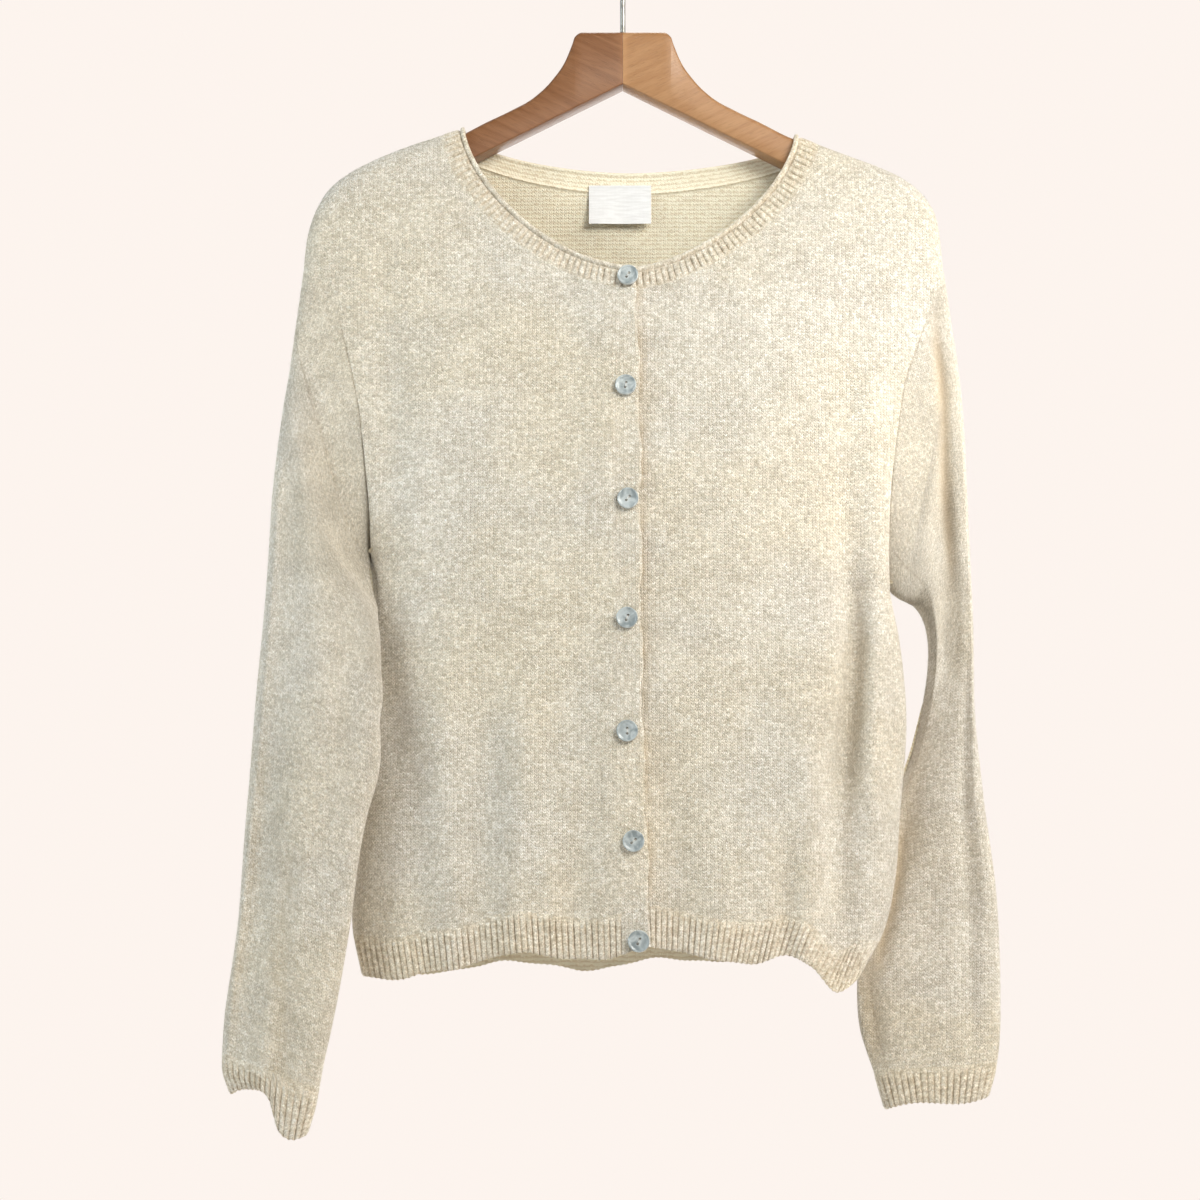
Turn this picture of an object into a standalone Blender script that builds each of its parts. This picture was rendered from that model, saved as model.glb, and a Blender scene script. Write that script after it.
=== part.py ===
"""Button cardigan hanging on its wooden hanger.

Metres, +Z up. +X is the viewer's right, and the buttoned front faces -Y. The origin is the
inside of the hook's crown, where a rail carries it, and a height is given as the drop below it.
"Right" and "left" in names are the wearer's, so the right half lies at -X.
The cloth is a wall: each piece is a grid of points on its outer face and one on its inner face.
"""

import math
from collections import namedtuple

import bmesh
import bpy
import numpy as np

# Cloth
WALL = 0.0022
SEAM_GAP = 0.0003
RIB_RISE = 0.0008
LAP_RISE = 0.0035
LAP_BLEND = 0.030

# Neck: two rounded V curves, one over the chest and one over the back
NECK_SHIFT = 0.0044
NECK_HALF = 0.1114
NECK_DROP = {"front": 0.2533, "back": 0.1765}
NECK_POWER = {"front": 1.25, "back": 1.18}
NECKBAND = 0.0160
NECK_SHOULDER_ANGLES = {"front": (0.21, 0.12, 0.06, 0.025, 0.0), "back": (0.44, 0.25, 0.13, 0.055, 0.0)}
NECK_STEPS = 6

# Body
SHOULDER_ROUND = 0.0125
SHOULDER_STEPS = 3
TIP_INSETS = (0.0105, 0.005, 0.0015, 0.0)
TIP_STEPS = 4
ARMHOLE_STEPS = 10
SIDE_STEPS = 5
ARMPIT_CLOSING = 0.09
SIDE_CLOSING = 0.10
SIDE_POWER = 2.6
HEM_RIB = 0.026
COLUMN_PULL = 0.10
CORNER_SPREAD = 0.035
CENTRE_BACK_FOOT = -0.004
ROW_DROPS = (0.0, 0.0015, 0.005, 0.0105, 0.018, 0.028, 0.040, 0.056, 0.075, 0.097, 0.121, 0.147, 0.173, 0.200)

# Button bands and buttons
PLACKET = 0.018
BUTTON_RADIUS = 0.0069
BUTTON_SIDES = 14
HOLE_RADIUS = 0.0009
HOLE_OFFSET = 0.0017

# Label
LABEL_LEFT, LABEL_RIGHT = -0.0230, 0.0192
LABEL_TOP, LABEL_FOOT = 0.1850, 0.2115
LABEL_WALL = 0.0008
LABEL_CLEAR = 0.0006

# Sleeves
AROUND = 2 * ARMHOLE_STEPS
SLEEVE_STEPS = 14
SLEEVE_POWER = 0.8
ARMPIT_THIN = 0.5
ARMPIT_SPREAD = 0.5
CUFF_RIB = 0.0042
BODY_RIB = 0.0044
NECK_RIB = 0.0046

# Hanger
BLOCK_TOP = 0.0830
ARM_ROUND = 0.0045
WIRE = 0.0018
HOOK_RADIUS = 0.0202 + WIRE

Spot = namedtuple("Spot", "out drop")
Hem = namedtuple("Hem", "x drop")
Depth = namedtuple("Depth", "drop front back edge")
Fold = namedtuple("Fold", "x_top x_foot drop_top drop_foot width height")
Ring = namedtuple("Ring", "out_x out_y out_drop in_x in_y in_drop thick")
Tuck = namedtuple("Tuck", "angle spread first last height")
Place = namedtuple("Place", "x drop")
Section = namedtuple("Section", "out top foot half_thick")

SIGN = {"right": -1, "left": 1}

# Outline of each half from the neck edge to the end of the shoulder
SHOULDER = {
    "right": (
        Spot(0.1070, 0.1497),
        Spot(0.1230, 0.1549),
        Spot(0.1520, 0.1652),
        Spot(0.1717, 0.1740),
        Spot(0.1865, 0.1824),
        Spot(0.1990, 0.1935),
    ),
    "left": (
        Spot(0.1158, 0.1545),
        Spot(0.1318, 0.1612),
        Spot(0.1536, 0.1698),
        Spot(0.1751, 0.1782),
        Spot(0.1912, 0.1866),
        Spot(0.2025, 0.1971),
    ),
}
# Outline past the end of the hanger, where the cloth still folds front to back
TIP = {
    "right": (
        Spot(0.1990, 0.1935),
        Spot(0.2070, 0.2076),
        Spot(0.2118, 0.2229),
        Spot(0.2140, 0.2400),
        Spot(0.2145, 0.2500),
    ),
    "left": (
        Spot(0.2025, 0.1971),
        Spot(0.2097, 0.2085),
        Spot(0.2128, 0.2243),
        Spot(0.2142, 0.2400),
        Spot(0.2150, 0.2510),
    ),
}
# Sleeve seam, top to armpit
ARMHOLE = {
    "right": (
        Spot(0.2145, 0.2500),
        Spot(0.2053, 0.2600),
        Spot(0.1913, 0.2810),
        Spot(0.1830, 0.3100),
        Spot(0.1759, 0.3413),
        Spot(0.1708, 0.3817),
        Spot(0.1678, 0.4092),
        Spot(0.1665, 0.4470),
    ),
    "left": (
        Spot(0.2150, 0.2510),
        Spot(0.2080, 0.2680),
        Spot(0.1958, 0.3027),
        Spot(0.1868, 0.3278),
        Spot(0.1817, 0.3568),
        Spot(0.1779, 0.3848),
        Spot(0.1746, 0.4292),
        Spot(0.1755, 0.4670),
    ),
}
# Side seam, armpit to hem
SIDE = {
    "right": (
        Spot(0.1665, 0.4470),
        Spot(0.1680, 0.5000),
        Spot(0.1695, 0.5600),
        Spot(0.1730, 0.6200),
        Spot(0.1765, 0.6700),
        Spot(0.1740, 0.7000),
        Spot(0.1690, 0.7185),
    ),
    "left": (
        Spot(0.1755, 0.4670),
        Spot(0.1810, 0.4985),
        Spot(0.1850, 0.5500),
        Spot(0.1795, 0.6180),
        Spot(0.1756, 0.6590),
        Spot(0.1680, 0.6900),
        Spot(0.1500, 0.7225),
    ),
}
HEM = {
    "front": (
        Hem(-0.169, 0.7185),
        Hem(-0.155, 0.7215),
        Hem(-0.116, 0.7160),
        Hem(-0.104, 0.7150),
        Hem(-0.080, 0.7070),
        Hem(-0.067, 0.7055),
        Hem(-0.038, 0.7088),
        Hem(-0.010, 0.7090),
        Hem(0.017, 0.7015),
        Hem(0.043, 0.7069),
        Hem(0.087, 0.7113),
        Hem(0.102, 0.7069),
        Hem(0.119, 0.7138),
        Hem(0.136, 0.7290),
        Hem(0.150, 0.7225),
    ),
    "back": (
        Hem(-0.169, 0.7185),
        Hem(-0.109, 0.7135),
        Hem(-0.082, 0.7076),
        Hem(-0.065, 0.7080),
        Hem(-0.020, 0.7135),
        Hem(0.020, 0.7056),
        Hem(0.060, 0.7080),
        Hem(0.109, 0.7040),
        Hem(0.132, 0.7135),
        Hem(0.150, 0.7225),
    ),
}
# How far the front, the back and the edge at the sleeve stand off the middle plane
DEPTHS = (
    Depth(0.140, 0.0125, 0.0125, 0.0125),
    Depth(0.180, 0.0150, 0.0150, 0.0128),
    Depth(0.220, 0.0210, 0.0200, 0.0132),
    Depth(0.270, 0.0285, 0.0270, 0.0150),
    Depth(0.340, 0.0360, 0.0330, 0.0200),
    Depth(0.450, 0.0420, 0.0380, 0.0200),
    Depth(0.580, 0.0460, 0.0420, 0.0200),
    Depth(0.730, 0.0500, 0.0460, 0.0200),
)
FOLDS = {
    "front": (
        Fold(-0.070, -0.066, 0.50, 0.80, 0.014, 0.004),
        Fold(-0.090, -0.088, 0.52, 0.80, 0.014, -0.005),
        Fold(0.150, 0.136, 0.36, 0.80, 0.013, -0.009),
        Fold(0.100, 0.100, 0.60, 0.80, 0.008, -0.005),
        Fold(0.028, 0.030, 0.55, 0.80, 0.014, -0.004),
        Fold(-0.160, -0.150, 0.27, 0.62, 0.012, -0.006),
        Fold(0.155, 0.150, 0.24, 0.40, 0.014, -0.004),
    ),
    "back": (
        Fold(-0.105, -0.085, 0.34, 0.80, 0.018, 0.006),
        Fold(-0.050, -0.045, 0.48, 0.80, 0.016, -0.005),
        Fold(0.030, 0.035, 0.42, 0.80, 0.017, 0.005),
        Fold(0.120, 0.100, 0.32, 0.80, 0.016, -0.007),
    ),
}
FOLD_FADE = 0.07
# Middle line of the button bands: it swings to the wearer's left near the hem
PLACKET_LINE = (
    Place(-0.0010, 0.255),
    Place(0.0012, 0.337),
    Place(0.0022, 0.492),
    Place(0.0030, 0.565),
    Place(0.0055, 0.635),
    Place(0.0080, 0.730),
)
BUTTONS = (
    Place(0.0030, 0.2612),
    Place(0.0012, 0.3370),
    Place(0.0026, 0.4130),
    Place(0.0019, 0.4917),
    Place(0.0018, 0.5650),
    Place(0.0055, 0.6354),
    Place(0.0088, 0.6985),
)
# A row for each ring of a sleeve below the seam; the last is the cuff's edge, the one before its seam
SLEEVE = {
    "right": (
        Ring(0.2187, -0.001, 0.284, 0.1705, -0.002, 0.463, 0.017),
        Ring(0.2222, -0.005, 0.318, 0.1730, -0.008, 0.480, 0.019),
        Ring(0.2262, -0.010, 0.352, 0.1710, -0.018, 0.500, 0.020),
        Ring(0.2300, -0.015, 0.400, 0.1640, -0.029, 0.523, 0.018),
        Ring(0.2325, -0.018, 0.450, 0.1575, -0.038, 0.551, 0.016),
        Ring(0.2358, -0.021, 0.505, 0.1560, -0.044, 0.585, 0.015),
        Ring(0.2400, -0.021, 0.560, 0.1640, -0.044, 0.620, 0.014),
        Ring(0.2438, -0.020, 0.620, 0.1710, -0.042, 0.660, 0.014),
        Ring(0.2490, -0.019, 0.690, 0.1780, -0.038, 0.710, 0.014),
        Ring(0.2563, -0.018, 0.767, 0.1925, -0.034, 0.790, 0.013),
        Ring(0.2510, -0.018, 0.7935, 0.2000, -0.034, 0.819, 0.012),
    ),
    "left": (
        Ring(0.2198, 0.001, 0.286, 0.1820, 0.001, 0.4720, 0.017),
        Ring(0.2240, 0.004, 0.316, 0.1880, 0.006, 0.4740, 0.019),
        Ring(0.2270, 0.008, 0.350, 0.1940, 0.012, 0.4760, 0.020),
        Ring(0.2290, 0.012, 0.395, 0.2000, 0.016, 0.4860, 0.018),
        Ring(0.2312, 0.017, 0.442, 0.2030, 0.021, 0.5050, 0.016),
        Ring(0.2330, 0.021, 0.495, 0.2010, 0.028, 0.5330, 0.015),
        Ring(0.2340, 0.024, 0.545, 0.1930, 0.036, 0.5680, 0.014),
        Ring(0.2370, 0.025, 0.600, 0.1780, 0.043, 0.6100, 0.014),
        Ring(0.2440, 0.025, 0.655, 0.1640, 0.046, 0.6550, 0.014),
        Ring(0.2460, 0.024, 0.705, 0.1550, 0.043, 0.7100, 0.014),
        Ring(0.2455, 0.022, 0.745, 0.1545, 0.038, 0.7480, 0.013),
        Ring(0.2425, 0.020, 0.774, 0.1635, 0.034, 0.7790, 0.013),
        Ring(0.2365, 0.020, 0.796, 0.1705, 0.034, 0.8040, 0.012),
    ),
}
CUFF_WAVE = {"right": -0.008, "left": 0.002}
# Long soft folds of a sleeve: angle round it from the outer edge, front positive, and its rings
TUCKS = {
    "right": (Tuck(1.0, 0.32, 1.5, 9.5, -0.005), Tuck(-1.4, 0.40, 3.0, 9.0, 0.004)),
    "left": (Tuck(1.65, 0.42, 0.7, 6.0, -0.008), Tuck(-1.2, 0.40, 3.0, 11.0, 0.004)),
}
# One arm of the hanger, from the mitre at the middle to the rounded tip
ARM = (
    Section(0.0000, 0.0830, 0.1204, 0.0085),
    Section(0.0290, 0.0830, 0.1353, 0.0085),
    Section(0.0325, 0.0865, 0.1371, 0.0085),
    Section(0.0386, 0.1025, 0.1402, 0.0085),
    Section(0.0480, 0.1170, 0.1451, 0.0085),
    Section(0.0600, 0.1290, 0.1513, 0.0085),
    Section(0.0760, 0.1385, 0.1595, 0.0085),
    Section(0.0930, 0.1470, 0.1682, 0.0085),
    Section(0.1090, 0.1556, 0.1764, 0.0085),
    Section(0.1320, 0.1648, 0.1870, 0.0085),
    Section(0.1540, 0.1736, 0.1965, 0.0085),
    Section(0.1720, 0.1820, 0.2040, 0.0085),
    Section(0.1840, 0.1900, 0.2080, 0.0080),
    Section(0.1900, 0.1960, 0.2070, 0.0060),
)

COLOURS = {
    "wool": ((0.79, 0.70, 0.57), 0.95, 0.0),
    "shell": ((0.42, 0.47, 0.45), 0.25, 0.0),
    "dark_wood": ((0.33, 0.16, 0.07), 0.5, 0.0),
    "light_wood": ((0.42, 0.22, 0.10), 0.5, 0.0),
    "wire": ((0.45, 0.45, 0.44), 0.35, 1.0),
    "woven_label": ((0.88, 0.87, 0.85), 0.7, 0.0),
}


def clear_scene():
    for thing in list(bpy.data.objects):
        bpy.data.objects.remove(thing)


def material_named(name):
    found = bpy.data.materials.get(name)
    if found:
        return found
    colour, roughness, metallic = COLOURS[name]
    made = bpy.data.materials.new(name)
    made.use_nodes = True
    shader = made.node_tree.nodes["Principled BSDF"]
    shader.inputs["Base Color"].default_value = (*colour, 1.0)
    shader.inputs["Roughness"].default_value = roughness
    shader.inputs["Metallic"].default_value = metallic
    return made


def smooth_curve(keys, values, at):
    """Values at these keys on a smooth curve through the given ones."""
    slopes = np.gradient(values, keys)
    at = np.clip(at, keys[0], keys[-1])
    low = np.clip(np.searchsorted(keys, at, side="right") - 1, 0, len(keys) - 2)
    span = keys[low + 1] - keys[low]
    part = (at - keys[low]) / span
    rest = 1 - part
    return (
        values[low] * (1 + 2 * part) * rest**2
        + slopes[low] * span * part * rest**2
        + values[low + 1] * (3 - 2 * part) * part**2
        - slopes[low + 1] * span * rest * part**2
    )


def column(rows, name):
    return np.array([getattr(row, name) for row in rows])


def read_table(rows, key, name, at):
    return smooth_curve(column(rows, key), column(rows, name), at)


def line_through(spots, parts):
    """Out and drop at these parts of the length of a smooth line through the spots."""
    points = np.array(spots)
    steps = np.hypot(*np.diff(points, axis=0).T)
    length = np.concatenate([[0.0], np.cumsum(steps)])
    at = np.asarray(parts) * length[-1]
    return smooth_curve(length, points[:, 0], at), smooth_curve(length, points[:, 1], at)


def ease(value):
    value = np.clip(value, 0.0, 1.0)
    return value * value * (3 - 2 * value)


def side_out(half, drop):
    """How far out the panels' outer edge lies: past the hanger's tip, sleeve seam, side seam."""
    return read_table(TIP[half] + ARMHOLE[half][1:] + SIDE[half][1:], "drop", "out", drop)


def armpit_drop(half):
    return ARMHOLE[half][-1].drop


def edge_depth(half, drop):
    """How far the front and back stand off the middle plane where the sleeve is sewn on."""
    below = np.clip((drop - armpit_drop(half) + ARMPIT_CLOSING) / ARMPIT_CLOSING, 0, 1)
    return read_table(DEPTHS, "drop", "edge", drop) * np.sqrt(1 - below**2)


def placket_x(drop):
    return read_table(PLACKET_LINE, "drop", "x", drop)


def shoulder_distance(half, x, drop):
    """Distance in the front view from the shoulder line, which the cloth folds over."""
    out, height = line_through(SHOULDER[half] + TIP[half][1:], np.linspace(0, 1, 49))
    line = np.stack([SIGN[half] * out, height], -1)
    start, step = line[:-1], np.diff(line, axis=0)
    point = np.stack([x, drop], -1)[..., None, :]
    part = ((point - start) * step).sum(-1) / (step * step).sum(-1)
    nearest = start + np.clip(part, 0, 1)[..., None] * step
    return np.sqrt(((point - nearest) ** 2).sum(-1)).min(-1)


def folds_at(face, x, drop):
    total = np.zeros_like(x)
    for fold in FOLDS[face]:
        part = np.clip((drop - fold.drop_top) / (fold.drop_foot - fold.drop_top), 0, 1)
        line = fold.x_top + (fold.x_foot - fold.x_top) * part
        starts = ease((drop - fold.drop_top) / FOLD_FADE)
        ends = ease((fold.drop_foot - drop) / FOLD_FADE)
        total += fold.height * np.exp(-(((x - line) / fold.width) ** 2)) * starts * ends
    return total


def stand_off(face, x, drop):
    """How far the outer face of the front or the back stands off the middle plane."""
    outs = {half: side_out(half, drop) for half in SIGN}
    middle = (outs["left"] - outs["right"]) / 2
    reach = (outs["left"] + outs["right"]) / 2
    across = np.clip(np.abs(x - middle) / reach, 0, 1)
    on_left = x > middle
    edge = np.where(on_left, edge_depth("left", drop), edge_depth("right", drop))
    armpit = np.where(on_left, armpit_drop("left"), armpit_drop("right"))
    closing = ease((drop - armpit + SIDE_CLOSING) / SIDE_CLOSING)
    rounded = (1 - across**SIDE_POWER) ** (1 / SIDE_POWER)
    shape = (1 - closing) * (1 - across**3) + closing * rounded
    full = read_table(DEPTHS, "drop", face, drop)
    folds = folds_at(face, x, drop) * (1 - across**8)
    depth = edge + (full - edge) * shape + folds
    near = np.minimum(shoulder_distance("right", x, drop), shoulder_distance("left", x, drop))
    roundness = np.clip(near / SHOULDER_ROUND, 0, 1)
    return depth * np.sqrt(1 - (1 - roundness) ** 2)


def lap_rise(x, drop):
    """The right front rises near its edge to lie over the left one."""
    distance = placket_x(drop) - PLACKET / 2 - x
    return LAP_RISE * (1 - ease(distance / LAP_BLEND))


def on_body(face, x, drop, lapped=False):
    """Points of the body's outer face, from the front view's x and drop."""
    depth = stand_off(face, x, drop)
    if lapped:
        depth = depth + lap_rise(x, drop)
    y = -depth if face == "front" else depth
    return np.stack([x, y, -drop], -1)


def neck_curve(face, half, angle, grow):
    """X and drop on the neck edge, grown by up to the neckband's width. Angle 0 is the shoulder."""
    power = NECK_POWER[face]
    first, second = SHOULDER[half][:2]
    out_at_shoulder = NECK_HALF + SIGN[half] * NECK_SHIFT + grow
    slope = (second.drop - first.drop) / (second.out - first.out)
    top = first.drop + slope * (out_at_shoulder - first.out)
    foot = NECK_DROP[face] + grow
    x = NECK_SHIFT + SIGN[half] * (NECK_HALF + grow) * np.abs(np.cos(angle)) ** power
    drop = top + (foot - top) * np.abs(np.sin(angle)) ** power
    return x, drop


def neck_angle_at(half, x):
    """The angle at which the front neck seam passes this x, near the middle."""
    part = np.abs(x - NECK_SHIFT) / (NECK_HALF + NECKBAND)
    return np.arccos(part ** (1 / NECK_POWER["front"]))


def placket_edge(half, drop):
    return placket_x(drop) + SIGN[half] * PLACKET / 2


def neck_angles(face, half):
    """Angles of the panel's columns along the neck seam, from the middle to the shoulder."""
    start = math.pi / 2
    if face == "front":
        start = neck_angle_at(half, placket_edge(half, NECK_DROP[face] + NECKBAND))
    last = NECK_SHOULDER_ANGLES[face]
    even = np.linspace(start, last[0], NECK_STEPS + 1)
    return np.concatenate([even, last[1:]])


def top_line(face, half):
    """The panel's top edge: neck seam, then shoulder, with close columns near its end."""
    x, drop = neck_curve(face, half, neck_angles(face, half), NECKBAND)
    spots = SHOULDER[half][1:]
    length = np.hypot(*np.diff(np.array(spots), axis=0).T).sum()
    last = 1 - np.array(TIP_INSETS) / length
    parts = np.concatenate([np.linspace(0, last[0], SHOULDER_STEPS + 1)[1:], last[1:]])
    out, height = line_through(spots, parts)
    return np.concatenate([x, SIGN[half] * out]), np.concatenate([drop, height])


def even_across(face, half, drop, count):
    """X values that part the cloth from the middle to the side seam into even widths."""
    if face == "front":
        start = placket_edge(half, drop)
    else:
        start = CENTRE_BACK_FOOT
    end = SIGN[half] * side_out(half, drop)
    turn = np.sin(np.linspace(0, math.pi / 2, 200))
    x = start + (end - start) * turn
    points = on_body(face, x, np.full_like(x, drop))
    length = np.concatenate([[0.0], np.cumsum(np.linalg.norm(np.diff(points, axis=0), axis=1))])
    x = np.interp(np.linspace(0, length[-1], count), length, x)
    x[-1] = end
    return x


def middle_x(face, half, drop):
    """The panel's inner edge: the button band's seam in front, the middle of the back behind."""
    if face == "front":
        return placket_edge(half, drop)
    part = (drop - NECK_DROP["back"]) / (SIDE[half][-1].drop - NECK_DROP["back"])
    return NECK_SHIFT + (CENTRE_BACK_FOOT - NECK_SHIFT) * part


def outer_drops(half, foot):
    """Drops of the rows where they meet the panel's outer edge."""
    tip, seam_top, armpit = TIP[half][0].drop, ARMHOLE[half][0].drop, armpit_drop(half)
    past_tip = np.linspace(tip, seam_top, TIP_STEPS + 1)
    turns = np.linspace(0, math.pi, ARMHOLE_STEPS + 1)[1:]
    along_seam = seam_top + (armpit - seam_top) * (1 - np.cos(turns)) / 2
    below = np.linspace(armpit, foot, SIDE_STEPS + 1)[1:]
    return np.concatenate([past_tip, along_seam, below])


def square_to(points, aside):
    """Unit directions square to a line of front-view points, on the side of the given point."""
    along = unit(np.gradient(points, axis=0))
    square = np.stack([along[:, 1], -along[:, 0]], -1)
    side = np.sign((square * (aside - points)).sum(-1).sum())
    return square * side


def leaving(top, corner, aside):
    """Directions in which the columns leave the top line; they share out the neck corner's angle."""
    neck = square_to(top[: corner + 1], aside)
    shoulder = square_to(top[corner:], aside)
    mitre = (neck[-1] + shoulder[0]) / (1 + neck[-1] @ shoulder[0])
    length = np.concatenate([[0.0], np.cumsum(np.linalg.norm(np.diff(top, axis=0), axis=1))])
    weight = np.exp(-np.abs(length - length[corner]) / CORNER_SPREAD)[:, None]
    neck = neck + weight[: corner + 1] * (mitre - neck[-1])
    shoulder = shoulder + weight[corner:] * (mitre - shoulder[0])
    return np.concatenate([neck[:-1], shoulder])


def column_curve(top, start, foot, part):
    """Front-view points of the columns, from the top line to the hem rib's seam."""
    part = part[:, None, None]
    rest = 1 - part
    fall = np.stack([np.zeros(len(top)), foot[:, 1] - top[:, 1]], -1)
    return (
        top * (1 + 2 * part) * rest**2
        + COLUMN_PULL * start * part * rest**2
        + foot * (3 - 2 * part) * part**2
        - fall * rest * part**2
    )


def row_parts(length):
    """Parts of a column at which the rows lie, for their distances from the top line."""
    below = np.linspace(ROW_DROPS[-1], length, SIDE_STEPS + 2)[1:]
    fine = np.linspace(0, 1, 400)
    origin, down = np.zeros((1, 2)), np.array([[0.0, 1.0]])
    distance = column_curve(origin, down, length * down, fine)[:, 0, 1]
    return np.interp(np.concatenate([ROW_DROPS, below]), distance, fine)


def half_panel(face, half):
    """Front-view x and drop of a panel's rows, and of its hem rib's rows, middle to side."""
    top = np.stack(top_line(face, half), -1)
    count = len(top)
    corner = count - SHOULDER_STEPS - len(TIP_INSETS)
    side_foot = SIDE[half][-1].drop
    feet = []
    for rise in (HEM_RIB, 0.0):
        x = even_across(face, half, side_foot - rise, count)
        drop = read_table(HEM[face], "x", "drop", x) - rise
        x[0] = middle_x(face, half, drop[0])
        feet.append(np.stack([x, drop], -1))
    foot, edge = feet
    parts = row_parts(foot[0, 1] - NECK_DROP["back"])
    rows = column_curve(top, leaving(top, corner, foot[corner]), foot, parts)
    across = np.concatenate([[0.0], np.cumsum(np.linalg.norm(np.diff(top, axis=0), axis=1))])
    across = (across / across[-1])[:, None]
    outer = outer_drops(half, foot[-1, 1])
    outer = np.stack([SIGN[half] * side_out(half, outer), outer], -1)
    rows += across**6 * (outer - rows[:, -1])[:, None]
    inner = middle_x(face, half, rows[:, 0, 1]) - rows[:, 0, 0]
    rows[..., 0] += inner[:, None] * (1 - across[:, 0]) ** 6
    ribs = np.stack([foot, edge])
    return (rows[..., 0], rows[..., 1]), (ribs[..., 0], ribs[..., 1])


def normals_of(grid, outward, closed=False):
    """Unit normals of a grid, turned to the side that the outward points give."""
    if closed:
        along = np.roll(grid, -1, axis=1) - np.roll(grid, 1, axis=1)
    else:
        along = np.gradient(grid, axis=1)
    normals = np.cross(along, np.gradient(grid, axis=0))
    size = np.linalg.norm(normals, axis=-1, keepdims=True)
    normals = normals / np.maximum(size, 1e-15)
    if (normals * outward).sum() < 0:
        normals = -normals
    return normals


def unit(vectors):
    return vectors / np.linalg.norm(vectors, axis=-1, keepdims=True)


class Sheet:
    """A piece of cloth: a grid of points on its outer face, and a normal at each."""

    def __init__(self, grid, outward, closed=False):
        self.grid = np.array(grid)
        self.closed = closed
        self.normals = normals_of(self.grid, outward, closed)
        self.wall = np.full(self.grid.shape[:2], WALL)

    def trimmed(self):
        """The grid with half the seam gap taken off each edge, square to the edge."""
        moves = np.zeros_like(self.grid)
        edges = [(0, 1, 0), (-1, -2, 0)]
        if not self.closed:
            edges += [(0, 1, 1), (-1, -2, 1)]
        for edge, beside, axis in edges:
            here = np.take(self.grid, edge, axis=axis)
            there = np.take(self.grid, beside, axis=axis)
            facing = np.take(self.normals, edge, axis=axis)
            if self.closed:
                along = np.roll(here, -1, axis=0) - np.roll(here, 1, axis=0)
            else:
                along = np.gradient(here, axis=0)
            inward = unit(np.cross(facing, along))
            if (inward * (there - here)).sum() < 0:
                inward = -inward
            where = edge if axis == 0 else (slice(None), edge)
            moves[where] += inward * SEAM_GAP / 2
        return self.grid + moves


def share_normals(*edges):
    """Gives matching points of several sheets' edges one normal, so that seams close evenly."""
    total = unit(sum(sheet.normals[where] for sheet, where in edges))
    for sheet, where in edges:
        sheet.normals[where] = total


def mesh_object(name, points, faces, material, smooth=True):
    mesh = bpy.data.meshes.new(name)
    mesh.from_pydata([tuple(point) for point in points], [], faces)
    shape = bmesh.new()
    shape.from_mesh(mesh)
    if shape.calc_volume(signed=True) < 0:
        bmesh.ops.reverse_faces(shape, faces=shape.faces)
    shape.to_mesh(mesh)
    shape.free()
    mesh.materials.append(material_named(material))
    if smooth:
        mesh.shade_smooth()
        mesh.set_sharp_from_angle(angle=math.radians(40))
    made = bpy.data.objects.new(name, mesh)
    bpy.context.scene.collection.objects.link(made)
    return made


def rim_faces(points, outside, first_under, last_under, turned):
    """Triangles from an edge's outer points to the inner points under its two ends.

    The diagonal starts at the lower end, so two rims that meet in a seam are creased alike.
    """
    first, last = outside[0], outside[-1]
    if points[first][2] < points[last][2]:
        far, faces = last_under, [(first, last_under, first_under)]
    else:
        far, faces = first_under, [(last, last_under, first_under)]
    feet = outside[::2] if len(outside) > 2 else outside
    for place in range(len(feet) - 1):
        faces.append((feet[place], feet[place + 1], far))
        if feet is not outside:
            faces.append((feet[place], outside[2 * place + 1], feet[place + 1]))
    return [tuple(reversed(face)) for face in faces] if turned else faces


def wall_object(name, sheet, material="wool"):
    """A plain wall: both faces have the sheet's grid, and rims close its edges."""
    outer = sheet.trimmed()
    inner = outer - sheet.normals * sheet.wall[..., None]
    rows, columns = outer.shape[:2]
    points = np.concatenate([outer.reshape(-1, 3), inner.reshape(-1, 3)])
    under = rows * columns

    def at(row, col):
        return row * columns + col % columns

    faces = []
    last = columns if sheet.closed else columns - 1
    for row in range(rows - 1):
        for col in range(last):
            ring = (at(row, col), at(row, col + 1), at(row + 1, col + 1), at(row + 1, col))
            faces.append(ring)
            faces.append(tuple(under + corner for corner in reversed(ring)))
    edges = []
    for col in range(last):
        edges.append((at(0, col), at(0, col + 1), True))
        edges.append((at(rows - 1, col), at(rows - 1, col + 1), False))
    if not sheet.closed:
        for row in range(rows - 1):
            edges.append((at(row, 0), at(row + 1, 0), False))
            edges.append((at(row, columns - 1), at(row + 1, columns - 1), True))
    for a, b, turned in edges:
        faces += rim_faces(points, (a, b), under + a, under + b, turned)
    return mesh_object(name, points, faces, material)


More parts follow.
